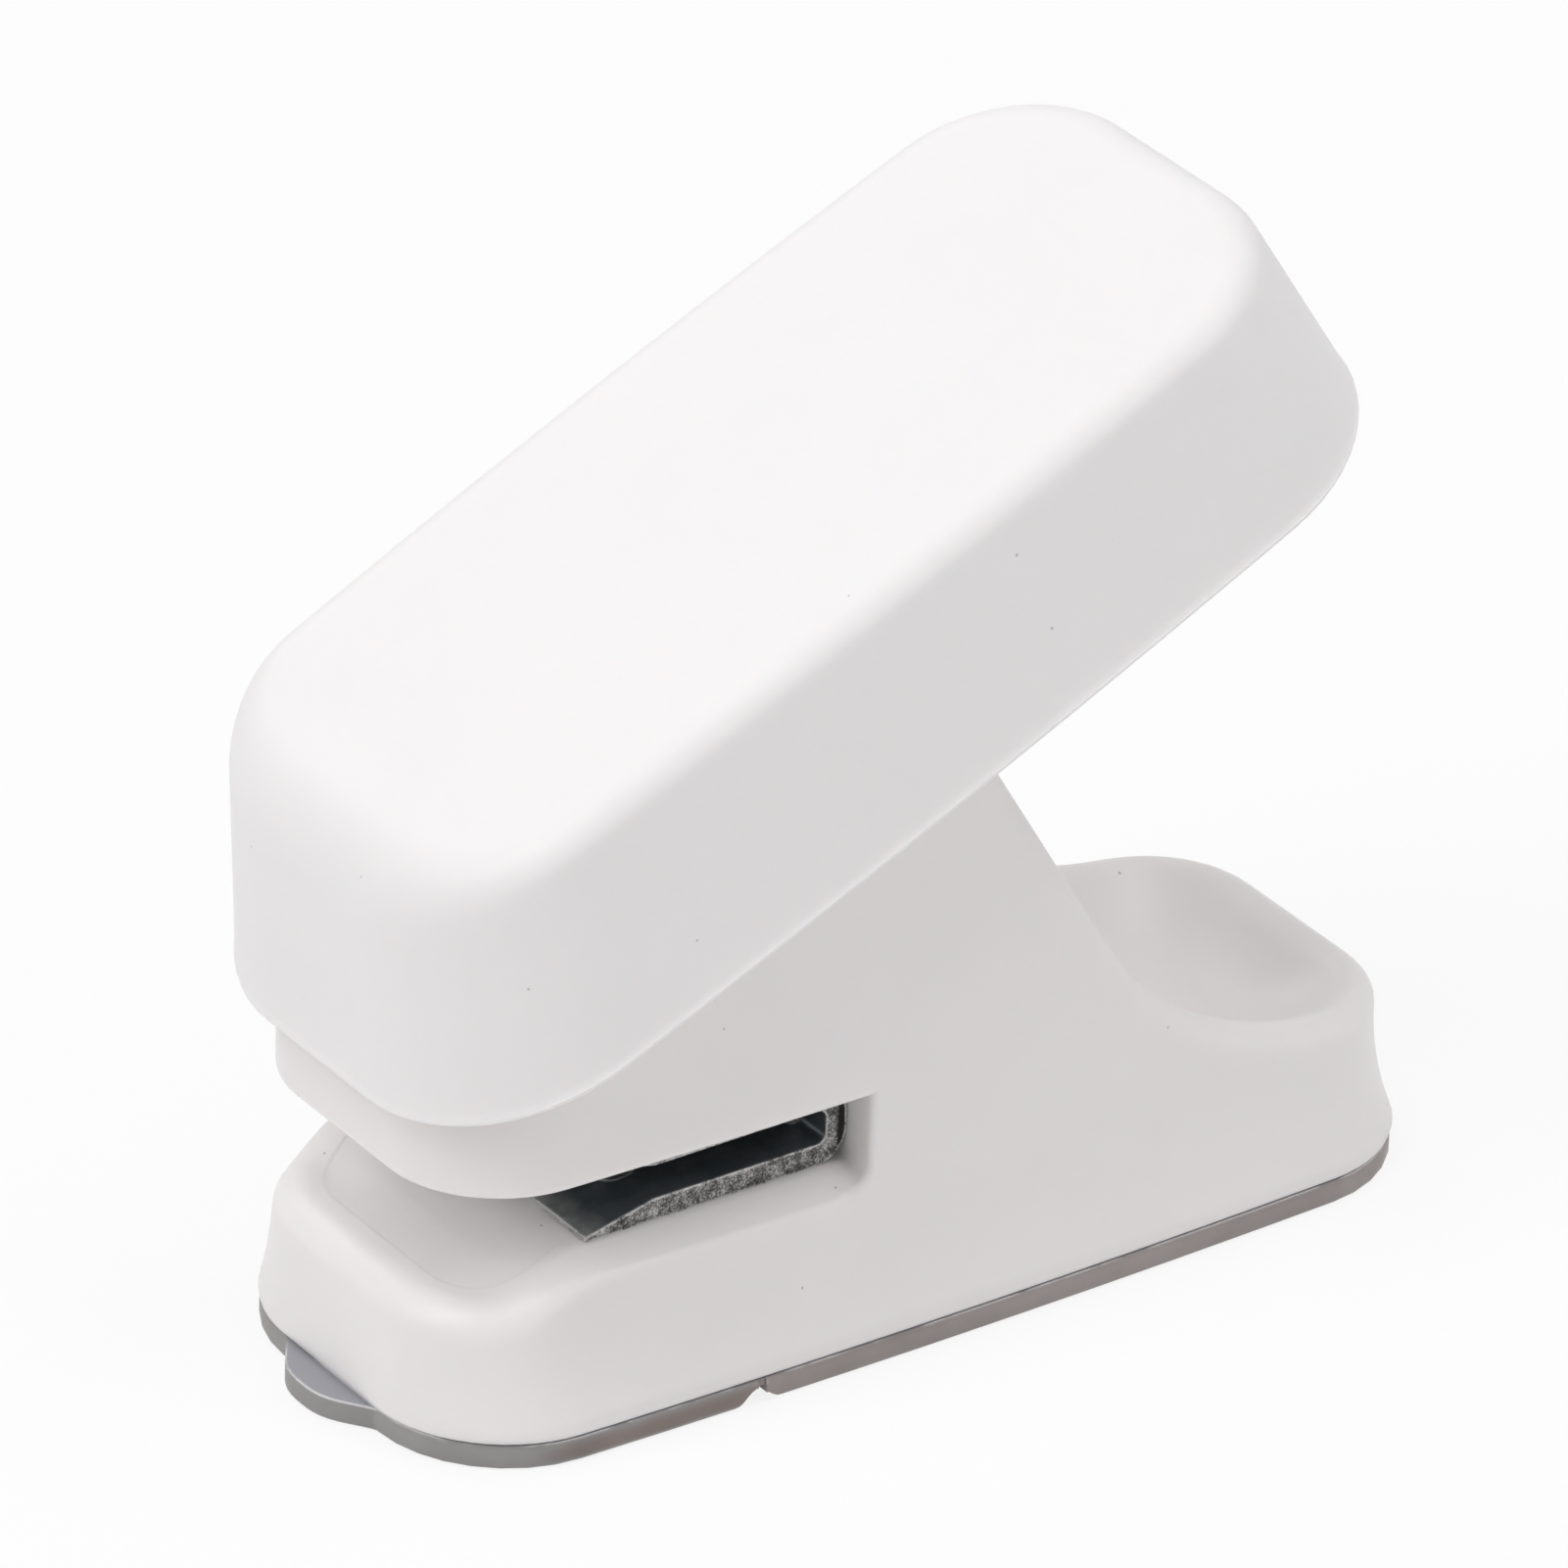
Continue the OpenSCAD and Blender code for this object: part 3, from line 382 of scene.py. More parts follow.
SIDE_END = HALF_L - BASE_CORNER
ARC_X = SLOT_END - SLOT_FILLET
BED_SIDE_Z = edge_height(ARC_X, BED_ROUND, 0) + BED_ROUND
ARC_Z = BED_SIDE_Z + SLOT_FILLET
SLOT_EDGE = SLOT_END + END_ROUND


def slot_arc():
    arc = []
    for i in range(ARC_STEPS + 1):
        turn = pi / 2 * i / ARC_STEPS
        edge = END_ROUND + (BED_ROUND - END_ROUND) * cos(turn) ** 2
        inner = (ARC_X + SLOT_FILLET * sin(turn), ARC_Z - SLOT_FILLET * cos(turn))
        reach = (edge * sin(turn), -edge * cos(turn))
        arc.append((inner[0] + reach[0], inner[1] + reach[1], -reach[0], -reach[1], edge))
    return arc


SLOT_ARC = slot_arc()
SIDE_X = (
    spread(SIDE_END, WELL_X, SWEEP_STEPS)[1:]
    + spread(WELL_X, SLOT_EDGE, NECK_STEPS)
    + [p[0] for p in reversed(SLOT_ARC)]
    + spread(ARC_X, -SIDE_END, THROAT_STEPS)[1:]
)
SIDE = [x / SIDE_END for x in SIDE_X]


# The front wall stands out by the lead where the flare ends, and not at all at the seam

def front_lead(x, inset):
    share = min(1, max(0, inset / FLARE))
    return FRONT_LEAD * share * max(0, -x / (HALF_L - inset)) ** 3


def base_ring(inset):
    corner = max(BASE_CORNER - inset, BOWL_CORNER)
    half = half_outline(HALF_L - inset, HALF_W - inset, corner, BASE_BOW, SIDE)
    return [(x - front_lead(x, inset), y) for x, y in whole(half)]


WALL_RING = base_ring(FLARE)
COUNT = len(WALL_RING)


def first_column(edge):
    return min(i for i, p in enumerate(WALL_RING) if p[0] < edge + HAIR)


SLOT_COLUMN = first_column(SLOT_EDGE)
ARC_COLUMN = SLOT_COLUMN + ARC_STEPS
WELL_COLUMN = first_column(WELL_X)


def mirrored(i):
    return COUNT - i


def near_side(i):
    return min(i, mirrored(i))


# Heights of the slot's lower and upper edge on the wall, carried on behind the slot

def low_edge(i):
    x = WALL_RING[i][0]
    column = near_side(i)
    if column > ARC_COLUMN:
        return edge_height(x, bed_round(x), 0)
    if column >= SLOT_COLUMN:
        return SLOT_ARC[ARC_STEPS - column + SLOT_COLUMN][1]
    return ARC_Z + (REAR_EDGE_Z - ARC_Z) * ease((x - SLOT_EDGE) / REAR_EDGE_RUN)


def rim_edge(x):
    return rim(x) - RIM_ROUND * slope_grow(x)


def high_edge(i):
    x = WALL_RING[i][0]
    high = CEILING_Z + HEAD_ROUND
    if near_side(i) >= SLOT_COLUMN:
        return high
    share = (high - ARC_Z) / (rim_edge(SLOT_EDGE) - ARC_Z)
    return low_edge(i) + (rim_edge(x) - low_edge(i)) * share


RING_CACHE = {}


def base_ring_at(inset, i):
    key = round(inset, 4)
    if key not in RING_CACHE:
        RING_CACHE[key] = base_ring(key)
    return RING_CACHE[key][i]


def wall_row(height):
    rows = [height(i) for i in range(COUNT)]
    return [(*base_ring_at(flare_inset(z), i), z) for i, z in enumerate(rows)]


def level_ring(inset, z):
    return [(x, y, z) for x, y in base_ring(inset)]


def rim_ring(turn):
    ring = base_ring(FLARE + RIM_ROUND * (1 - cos(turn)))
    return [(x, y, rim(x) - RIM_ROUND * (1 - sin(turn)) * slope_grow(x)) for x, y in ring]


def dish_ring(s):
    return [(x, y, rim(x) - dish(x, s)) for x, y in base_ring(FLARE + s)]


# One point of the slot's edge as it rolls inward: share rounds it over, then s carries it on

def slot_point(i, kind, start, roll, edge, share, s):
    inset = flare_inset(start[1])
    turn = pi / 2 * share
    if kind == "bed":
        last = edge_turn(WALL_RING[i][0])
        inset += (FLARE - inset) * share + max(edge * (1 - cos(last * share)), s)
        x, y = base_ring_at(inset, i)
        return (x, y, bed_top(x, s) if s else edge_height(x, edge, share))
    inset += (FLARE + edge - inset) * (1 - cos(turn)) + max(0, s - edge)
    x, y = base_ring_at(inset, i)
    if kind == "roof":
        return (x, y, CEILING_Z + HEAD_ROUND * (1 - sin(turn)))
    lift = (share * max(0, roll[1] / edge)) ** 2 * (bed_top(ARC_X, max(s, edge)) - BED_SIDE_Z)
    return (start[0] + roll[0] * sin(turn), y, start[1] + roll[1] * sin(turn) + lift)


# The slot's edge on the wall as a closed loop: along the bed, up the far end, back under the head, down

def slot_loop(rows):
    last = mirrored(SLOT_COLUMN)
    low, mid, high = rows[0], rows[1:-1], rows[-1]
    loop = []
    for i in range(SLOT_COLUMN, last + 1):
        column = near_side(i)
        if column > ARC_COLUMN:
            loop.append((low[i], i, "bed", (0, low_edge(i)), (0, 0), bed_round(WALL_RING[i][0])))
        else:
            z, dx, dz, edge = SLOT_ARC[ARC_STEPS - column + SLOT_COLUMN][1:]
            loop.append((low[i], i, "end", (WALL_RING[i][0], z), (dx, dz), edge))
    up = (-END_ROUND, 0)
    end_x = WALL_RING[SLOT_COLUMN][0]
    for row in mid:
        z = row[last].co.z / MM
        loop.append((row[last], last, "end", (end_x, z), up, END_ROUND))
    for i in range(last, SLOT_COLUMN - 1, -1):
        column = near_side(i)
        x = WALL_RING[i][0]
        if column > ARC_COLUMN:
            loop.append((high[i], i, "roof", (x, high_edge(i)), (0, 0), HEAD_ROUND))
        else:
            inner = ARC_X + (x - ARC_X) * SLOT_FILLET / (SLOT_FILLET + END_ROUND)
            loop.append((high[i], i, "end", (x, high_edge(i)), (inner - x, -HEAD_ROUND), HEAD_ROUND))
    for row in reversed(mid):
        z = row[SLOT_COLUMN].co.z / MM
        loop.append((row[SLOT_COLUMN], SLOT_COLUMN, "end", (end_x, z), up, END_ROUND))
    return loop


# The housing's outer skin: skirt, wall with the slot in it, rim, scoop and mechanism well

def housing_skin():
    bm = bmesh.new()
    foot = SEAM_Z + LIP_H
    ring = first_ring(bm, level_ring(FLARE + WALL, SEAM_Z))
    for inset, rise in FOOT_ROWS:
        ring = next_ring(bm, ring, level_ring(inset, SEAM_Z + rise))
    low = [low_edge(i) for i in range(COUNT)]
    high = [high_edge(i) for i in range(COUNT)]
    top = [rim_edge(x) for x, y in WALL_RING]
    for share in SKIRT_SHARES:
        ring = next_ring(bm, ring, wall_row(lambda i: foot + (low[i] - foot) * share))
    rows = [ring]
    for share in SLOT_SHARES:
        ring = next_ring(bm, ring, wall_row(lambda i: low[i] + (high[i] - low[i]) * share))
        rows.append(ring)
    for share in HEAD_SHARES:
        ring = next_ring(bm, ring, wall_row(lambda i: high[i] + (top[i] - high[i]) * share))
    for turn in RIM_TURNS:
        ring = next_ring(bm, ring, rim_ring(radians(turn)))
    for s in CREST_INSETS:
        ring = next_ring(bm, ring, dish_ring(s))
    dishes = []
    for s in DISH_INSETS:
        ring = next_ring(bm, ring, dish_ring(s))
        dishes.append(ring)
    dishes.append(next_ring(bm, ring, [(x, 0, z) for x, y, z in dish_ring(DISH_INSETS[-1])]))
    open_slot(bm, rows)
    open_well(bm, dishes)
    merge(bm)
    bmesh.ops.recalc_face_normals(bm, faces=bm.faces)
    soften(bm, SKIN_CREASE)
    return bm


def cut_window(bm, rows, columns):
    faces = []
    for low, high in zip(rows, rows[1:]):
        for i, k in zip(columns, columns[1:]):
            faces.append(bm.faces.get((low[i], low[k], high[k], high[i])))
    bmesh.ops.delete(bm, geom=faces, context="FACES")


def open_slot(bm, rows):
    loop = slot_loop(rows)
    cut_window(bm, rows, list(range(SLOT_COLUMN, mirrored(SLOT_COLUMN) + 1)))
    ring = [p[0] for p in loop]
    for share in ROLL_SHARES:
        ring = next_ring(bm, ring, [slot_point(*p[1:], share, 0) for p in loop])
    reach = [edge_reach(WALL_RING[p[1]][0]) if p[2] == "bed" else p[5] for p in loop]
    for share in REACH_SHARES:
        inner = [r + (PANEL_MARGIN - r) * share for r in reach]
        ring = next_ring(bm, ring, [slot_point(*p[1:], 1, s) for p, s in zip(loop, inner)])
    for step in PANEL_STEPS:
        flat = [slot_point(*p[1:], 1, PANEL_MARGIN + step) for p in loop]
        ring = next_ring(bm, ring, flat)
    next_ring(bm, ring, [(x, 0, z) for x, y, z in flat])
    bmesh.ops.delete(bm, geom=[f for f in bm.faces if over_chute(f)], context="FACES")


def over_chute(face):
    x, y, z = face.calc_center_median() / MM
    return abs(z - PAD_Z) < LEVEL and abs(y) < CHUTE_HALF and CHUTE_FRONT < x < CHUTE_REAR


def open_well(bm, dishes):
    columns = list(range(WELL_COLUMN, mirrored(WELL_COLUMN) + 1))
    cut_window(bm, dishes, columns)
    side = [ring[WELL_COLUMN] for ring in dishes]
    far_side = [ring[mirrored(WELL_COLUMN)] for ring in reversed(dishes[:-1])]
    front = [dishes[0][i] for i in reversed(columns[1:-1])]
    ends = [dishes[-1][WELL_COLUMN], dishes[-1][mirrored(WELL_COLUMN)]]
    bmesh.ops.pointmerge(bm, verts=ends, merge_co=ends[0].co)
    edge = side + far_side + front
    floor = next_ring(bm, edge, [(v.co.x / MM, v.co.y / MM, WELL_FLOOR) for v in edge])
    bmesh.ops.edgeloop_fill(bm, edges=ring_edges(bm, floor))


# Faces of the housing's node that lie inside its walls: chamber, ribs, chute and screw holes

def in_chamber(face):
    inset = FLARE + WALL
    for v in face.verts:
        x, y, z = v.co / MM
        x += front_lead(x + FRONT_LEAD, inset) if x < 0 else 0
        depth = depth_inside(x, y, HALF_L - inset, HALF_W - inset, BASE_CORNER - inset, BASE_BOW)
        if depth < -CHAMBER_SLACK or z > PAD_Z + PAD_SLACK:
            return False
    lowest = min(v.co.z for v in face.verts) / MM
    return not (face.normal.z > 0.5 and lowest > SEAM_Z + LIP_H) and lowest > SEAM_Z - LEVEL


# The lever's own frame

LEVER_X = -HALF_L - LEVER_OVER + LEVER_L / 2 * cos(radians(LEVER_TILT))
LEVER_Z = LEVER_FRONT_Z + LEVER_L / 2 * sin(radians(LEVER_TILT))
LEVER_FRAME = Matrix.Translation((LEVER_X, 0, LEVER_Z)) @ Matrix.Rotation(-radians(LEVER_TILT), 4, "Y")
LEVER_SIDE = [f / LEVER_STEPS for f in range(LEVER_STEPS - 1, -LEVER_STEPS, -1)]


# Half length, half width, corner and middle of the tapering lever at height w

def lever_size(w):
    k = w / LEVER_H
    a = (LEVER_L - (FRONT_DRAFT + REAR_DRAFT) * k) / 2
    b = LEVER_W / 2 - SIDE_DRAFT * k
    return a, b, LEVER_CORNER - SIDE_DRAFT * k, (FRONT_DRAFT - REAR_DRAFT) * k / 2


def lever_outline(w, inset):
    a, b, corner, middle = lever_size(w)
    half = half_outline(a - inset - LEVER_SKIN, b - inset - LEVER_SKIN, corner - inset,
                        LEVER_BOW, LEVER_SIDE)
    return [(x + middle, y) for x, y in whole(half)]


# Radius of the top edge at each point of the outline: wider over both ends

def top_round(x):
    wide = LEVER_FRONT_ROUND if x < 0 else LEVER_REAR_ROUND
    turn = (abs(x) - LEVER_L / 2 + LEVER_CORNER) / LEVER_CORNER
    return LEVER_ROUND + (wide - LEVER_ROUND) * min(1, max(0, turn)) ** 2


LEVER_ROUNDS = [top_round(x) for x, y in lever_outline(0, 0)]
LEVER_CACHE = {}


def lever_point(i, w, inset):
    key = (round(w, 3), round(inset, 3))
    if key not in LEVER_CACHE:
        LEVER_CACHE[key] = lever_outline(*key)
    return LEVER_CACHE[key][i]


# A ring of the lever: place gives height, inset and lift from the edge's radius

def lever_ring(place):
    ring = []
    for i, r in enumerate(LEVER_ROUNDS):
        w, inset, lift = place(r)
        x, y = lever_point(i, w, inset)
        ring.append(LEVER_FRAME @ Vector((x, y, w + lift)))
    return ring


# The lever's outer skin and lower edge

def lever_skin():
    bm = bmesh.new()
    ring = first_ring(bm, lever_ring(lambda r: (1, LEVER_WALL, 0)))
    for w, inset in LEVER_EDGE:
        ring = next_ring(bm, ring, lever_ring(lambda r: (w, inset, 0)))
    for share in LEVER_SHARES:
        lip = PARTING_LIP * (1 - share)
        ring = next_ring(bm, ring, lever_ring(lambda r: ((LEVER_H - r) * share, lip, 0)))
    for step in range(ROUND_STEPS + 1):
        t = radians(90 * step / ROUND_STEPS)
        ring = next_ring(bm, ring, lever_ring(lambda r: (LEVER_H - r + r * sin(t), r * (1 - cos(t)), 0)))
    middle = LEVER_ROUND + TOP_BAND
    for share in CROWN_SHARES:
        lift = LEVER_CROWN * ease(share)
        ring = next_ring(bm, ring, lever_ring(lambda r: (LEVER_H, r + (middle - r) * share, lift)))
    top = LEVER_H + LEVER_CROWN
    spine = [LEVER_FRAME @ Vector((x, 0, top)) for x, y in lever_outline(LEVER_H, middle)]
    next_ring(bm, ring, spine)
    merge(bm)
    bmesh.ops.recalc_face_normals(bm, faces=bm.faces)
    soften(bm, SKIN_CREASE)
    return bm


# Faces of the lever's node that lie inside its shell: the hollow, its ribs and bosses

def in_lever_shell(face):
    back = LEVER_FRAME.inverted()
    for v in face.verts:
        u, y, w = back @ (v.co / MM)
        a, b, corner, middle = lever_size(w)
        if depth_inside(u - middle, y, a, b, corner, LEVER_BOW) < LEVER_WALL - SHELL_SLACK:
            return False
        if w > LEVER_H - LEVER_WALL + SHELL_TOP or w < SHELL_LOW:
            return False
    return True


# Material building blocks

def add(tree, kind, **values):
    made = tree.nodes.new(kind)
    for name, value in values.items():
        setattr(made, name, value)
    return made


def new_material(name):
    material = bpy.data.materials.new(name)
    material.use_nodes = True
    tree = material.node_tree
    shader = tree.nodes["Principled BSDF"]
    where = add(tree, "ShaderNodeTexCoord").outputs["Object"]
    return material, tree, shader, where


def noise(tree, where, scale, detail=3, rough=0.5):
    made = add(tree, "ShaderNodeTexNoise")
    made.inputs["Scale"].default_value = scale
    made.inputs["Detail"].default_value = detail
    made.inputs["Roughness"].default_value = rough
    tree.links.new(where, made.inputs["Vector"])
    return made.outputs["Fac"]


def ramp(tree, value, *stops):
    made = add(tree, "ShaderNodeValToRGB")
    band = made.color_ramp
    while len(band.elements) < len(stops):
        band.elements.new(0.5)
    for element, (place, colour) in zip(band.elements, stops):
        element.position = place
        element.color = (*colour, 1) if len(colour) == 3 else (colour[0],) * 3 + (1,)
    tree.links.new(value, made.inputs["Fac"])
    return made.outputs["Color"]


def span(tree, value, low, high, to_low, to_high):
    made = add(tree, "ShaderNodeMapRange")
    made.inputs["From Min"].default_value = low
    made.inputs["From Max"].default_value = high
    made.inputs["To Min"].default_value = to_low
    made.inputs["To Max"].default_value = to_high
    tree.links.new(value, made.inputs["Value"])
    return made.outputs["Result"]


def mix(tree, share, a, b):
    made = add(tree, "ShaderNodeMix", data_type="RGBA")
    sockets = [s for s in made.inputs if s.enabled]
    tree.links.new(share, sockets[0])
    for socket, colour in zip(sockets[1:], (a, b)):
        if isinstance(colour, tuple):
            socket.default_value = (*colour, 1)
        else:
            tree.links.new(colour, socket)
    return next(s for s in made.outputs if s.enabled)


def calc(tree, operation, a, b=None):
    made = add(tree, "ShaderNodeMath", operation=operation)
    for socket, value in zip(made.inputs, (a, b)):
        if isinstance(value, (int, float)):
            socket.default_value = value
        elif value is not None:
            tree.links.new(value, socket)
    return made.outputs["Value"]


def bump(tree, shader, height, depth, strength=1):
    made = add(tree, "ShaderNodeBump")
    made.inputs["Strength"].default_value = strength
    made.inputs["Distance"].default_value = depth * MM
    tree.links.new(height, made.inputs["Height"])
    tree.links.new(made.outputs["Normal"], shader.inputs["Normal"])


def specks(tree, where, cell, size):
    made = add(tree, "ShaderNodeTexVoronoi")
    made.inputs["Scale"].default_value = 1 / (cell * MM)
    tree.links.new(where, made.inputs["Vector"])
    return span(tree, made.outputs["Distance"], size / cell * 0.6, size / cell, 1, 0)


# Share of a sharp edge, where painted edge highlights go: 1 on edges narrower than the radius

def edge_highlight_share(tree, radius):
    rounded = add(tree, "ShaderNodeBevel", samples=4)
    rounded.inputs["Radius"].default_value = radius * MM
    flat = add(tree, "ShaderNodeNewGeometry")
    compare = add(tree, "ShaderNodeVectorMath", operation="DOT_PRODUCT")
    tree.links.new(rounded.outputs["Normal"], compare.inputs[0])
    tree.links.new(flat.outputs["Normal"], compare.inputs[1])
    return span(tree, compare.outputs["Value"], 0.9, 0.98, 1, 0)


def parts_of(tree, source):
    made = add(tree, "ShaderNodeSeparateXYZ")
    tree.links.new(source, made.inputs["Vector"])
    return made.outputs["X"], made.outputs["Y"], made.outputs["Z"]


# White moulded plastic: soft sheen, a trace of mould texture, cloudy tone, dust specks

def white_plastic(name, colour, low, high):
    material, tree, shader, where = new_material(name)
    cloud = noise(tree, where, 70, 4, 0.6)
    darker = tuple(c * 0.98 for c in colour)
    tone = ramp(tree, cloud, (0.3, darker), (0.7, colour))
    dust = calc(tree, "MULTIPLY", specks(tree, where, 4.6, 0.13), 0.55)
    tree.links.new(mix(tree, dust, tone, (0.3, 0.27, 0.25)), shader.inputs["Base Color"])
    rubbed = noise(tree, where, 420, 5, 0.65)
    tree.links.new(span(tree, rubbed, 0.3, 0.7, low, high), shader.inputs["Roughness"])
    bump(tree, shader, noise(tree, where, 5200, 2), 0.003, 0.5)
    shader.inputs["Specular IOR Level"].default_value = 0.4
    shader.inputs["Subsurface Weight"].default_value = 0.4
    shader.inputs["Subsurface Radius"].default_value = (1, 0.85, 0.75)
    shader.inputs["Subsurface Scale"].default_value = 0.8 * MM
    return material


# Soft grey cover: cloudy translucent rubber with a pale line along its upper edge that is moulding flash
# and in part a painted highlight; the door's faces that point along Y get painted shade, and faces that
# point up a painted cool highlight

def soft_rubber():
    material, tree, shader, where = new_material("soft_grey_rubber")
    cloud = noise(tree, where, 160, 4, 0.6)
    # front is the door's colour; side is its darker, warmer copy for faces that point along Y: painted
    # shade
    front = ramp(tree, cloud, (0.3, (0.295, 0.285, 0.28)), (0.7, (0.36, 0.35, 0.342)))
    side = ramp(tree, cloud, (0.3, (0.22, 0.184, 0.17)), (0.7, (0.28, 0.232, 0.214)))
    cover = ramp(tree, cloud, (0.3, (0.31, 0.277, 0.267)), (0.7, (0.385, 0.345, 0.335)))
    along, _, height = parts_of(tree, where)
    _, aside, upward = parts_of(tree, add(tree, "ShaderNodeNewGeometry").outputs["Normal"])
    door = mix(tree, span(tree, calc(tree, "ABSOLUTE", aside), 0.93, 0.995, 0, 1), front, side)
    # The door with its painted side shade ahead of the hinge, the cover's colour behind it
    door_and_cover_with_painted_side_shade = mix(tree, span(tree, along, (HINGE_X - 0.6) * MM, (HINGE_X + 0.6) * MM, 0, 1), door, cover)
    # Faces that point up turn lighter and bluer: painted highlight of the cool light from above
    tone = mix(tree, span(tree, upward, 0.6, 0.9, 0, 0.8), door_and_cover_with_painted_side_shade, (0.36, 0.365, 0.405))
    # Near-white line on the sharp edges of the upper band, broken by noise: moulding flash, and in part
    # a painted highlight of the edge
    torn = noise(tree, where, 260, 3)
    upper_edge_flash_and_highlight = calc(tree, "MULTIPLY", span(tree, height, 1.2 * MM, 1.4 * MM, 0, 1), edge_highlight_share(tree, 0.26))
    edge = calc(tree, "MULTIPLY", upper_edge_flash_and_highlight, span(tree, torn, 0.42, 0.52, 0, 1))
    tree.links.new(mix(tree, edge, tone, (1, 0.99, 0.98)), shader.inputs["Base Color"])
    rubbed = noise(tree, where, 700, 3)
    tree.links.new(span(tree, rubbed, 0.3, 0.7, 0.42, 0.56), shader.inputs["Roughness"])
    bump(tree, shader, noise(tree, where, 2600, 3), 0.012, 0.6)
    shader.inputs["Specular IOR Level"].default_value = 0.35
    shader.inputs["Subsurface Weight"].default_value = 0.2
    shader.inputs["Subsurface Radius"].default_value = (1, 1, 1)
    shader.inputs["Subsurface Scale"].default_value = 0.8 * MM
    return material


# Burnished blue-black strip whose sheared edges are torn, with painted highlights on their sharp edges;
# where not torn they are near black, toward the rear end and in a thin band at the bottom that is
# painted shadow of the gap under the strip

def burnished_strip():
    material, tree, shader, where = new_material("burnished_strip_steel")
    facing = add(tree, "ShaderNodeNewGeometry").outputs["Normal"]
    across = calc(tree, "ABSOLUTE", parts_of(tree, facing)[1])
    sheared = span(tree, across, 0.7, 0.9, 0, 1)
    along, _, height = parts_of(tree, where)
    # Toward the rear end the sheared faces are left out of the torn zone
    ahead = span(tree, along, (STRIP_BACK - 0.75) * MM, (STRIP_BACK - 0.55) * MM, 1, 0)
    # A thin band at the bottom of the sheared faces is left out of the torn zone and comes out near
    # black: painted shadow of the gap under the strip
    clear_of_painted_gap_shadow = span(tree, height, (PAD_Z + 0.05) * MM, (PAD_Z + 0.22) * MM, 0, 1)
    torn_zone = calc(tree, "MULTIPLY", sheared, calc(tree, "MULTIPLY", ahead, clear_of_painted_gap_shadow))
    smoke = noise(tree, where, 260, 5, 0.6)
    dark = ramp(tree, smoke, (0.3, (0.12, 0.145, 0.16)), (0.58, (0.21, 0.235, 0.25)),
                (0.75, (0.36, 0.38, 0.39)))
    fine = calc(tree, "MULTIPLY", noise(tree, where, 7500, 4, 0.7), 0.62)
    grain = calc(tree, "ADD", fine, calc(tree, "MULTIPLY", noise(tree, where, 1000, 3, 0.6), 0.38))
    torn = ramp(tree, grain, (0.4, (0.03, 0.03, 0.03)), (0.5, (0.16, 0.157, 0.154)),
                (0.6, (0.6, 0.59, 0.58)))
    near_tip = span(tree, along, (STRIP_TIP + 0.4) * MM, (STRIP_TIP + 2) * MM, 1, 0)
    tip = calc(tree, "MULTIPLY", near_tip, span(tree, smoke, 0.35, 0.55, 0.3, 1))
    rubbed = mix(tree, tip, dark, (0.5, 0.51, 0.5))
    # Sheared faces outside the torn zone are near black: painted gap shadow at the bottom, plain dark
    # toward the rear
    finish_and_painted_gap_shadow = mix(tree, sheared, rubbed, (0.022, 0.02, 0.018))
    rough = mix(tree, torn_zone, finish_and_painted_gap_shadow, torn)
    # Near-white, non-metallic colour on the sharp edges where the grain is high: painted highlight
    painted_edge_highlight = calc(tree, "MULTIPLY", edge_highlight_share(tree, 0.3), span(tree, grain, 0.42, 0.48, 0, 1))
    tree.links.new(mix(tree, painted_edge_highlight, rough, (0.92, 0.91, 0.9)), shader.inputs["Base Color"])
    tree.links.new(span(tree, sheared, 0, 1, 0.34, 0.42), shader.inputs["Roughness"])
    bump(tree, shader, calc(tree, "MULTIPLY", grain, torn_zone), 0.1, 0.9)
    tree.links.new(span(tree, painted_edge_highlight, 0, 1, 0.7, 0), shader.inputs["Metallic"])
    return material


# Plain steel with drawn grain lines

def steel(name, colour, low, high, grain_scale):
    material, tree, shader, where = new_material(name)
    stretch = add(tree, "ShaderNodeMapping")
    stretch.inputs["Scale"].default_value = (1, 0.15, 1)
    tree.links.new(where, stretch.inputs["Vector"])
    lines = noise(tree, stretch.outputs["Vector"], grain_scale, 3)
    darker = tuple(c * 0.72 for c in colour)
    tree.links.new(ramp(tree, lines, (0.3, darker), (0.7, colour)), shader.inputs["Base Color"])
    rubbed = noise(tree, where, 500, 4)
    tree.links.new(span(tree, rubbed, 0.3, 0.7, low, high), shader.inputs["Roughness"])
    bump(tree, shader, lines, 0.006, 0.6)
    shader.inputs["Metallic"].default_value = 1
    return material


# Matt grey plastic of the punch's slider

def slider_plastic():
    material, tree, shader, where = new_material("grey_slider_plastic")
    cloud = noise(tree, where, 300, 4)
    tone = ramp(tree, cloud, (0.3, (0.1, 0.1, 0.105)), (0.7, (0.15, 0.15, 0.155)))
    tree.links.new(tone, shader.inputs["Base Color"])
    rubbed = noise(tree, where, 1500, 3)
    tree.links.new(span(tree, rubbed, 0.3, 0.7, 0.38, 0.55), shader.inputs["Roughness"])
    bump(tree, shader, noise(tree, where, 4000, 2), 0.008, 0.5)
    return material


# Finishes

body_white = white_plastic("white_body_plastic", (0.9, 0.872, 0.865), 0.33, 0.41)
lever_white = white_plastic("white_lever_plastic", (0.905, 0.887, 0.884), 0.42, 0.52)
rubber = soft_rubber()
strip_steel = burnished_strip()
bright_steel = steel("bright_zinc_steel", (0.66, 0.66, 0.64), 0.28, 0.42, 1800)
tool_steel = steel("ground_tool_steel", (0.52, 0.52, 0.52), 0.2, 0.32, 2600)
spring_steel = steel("spring_wire_steel", (0.6, 0.6, 0.6), 0.22, 0.34, 2200)
clip_steel = steel("black_clip_steel", (0.06, 0.06, 0.065), 0.35, 0.5, 1500)
slider = slider_plastic()

# Pieces that show the housing and the lever

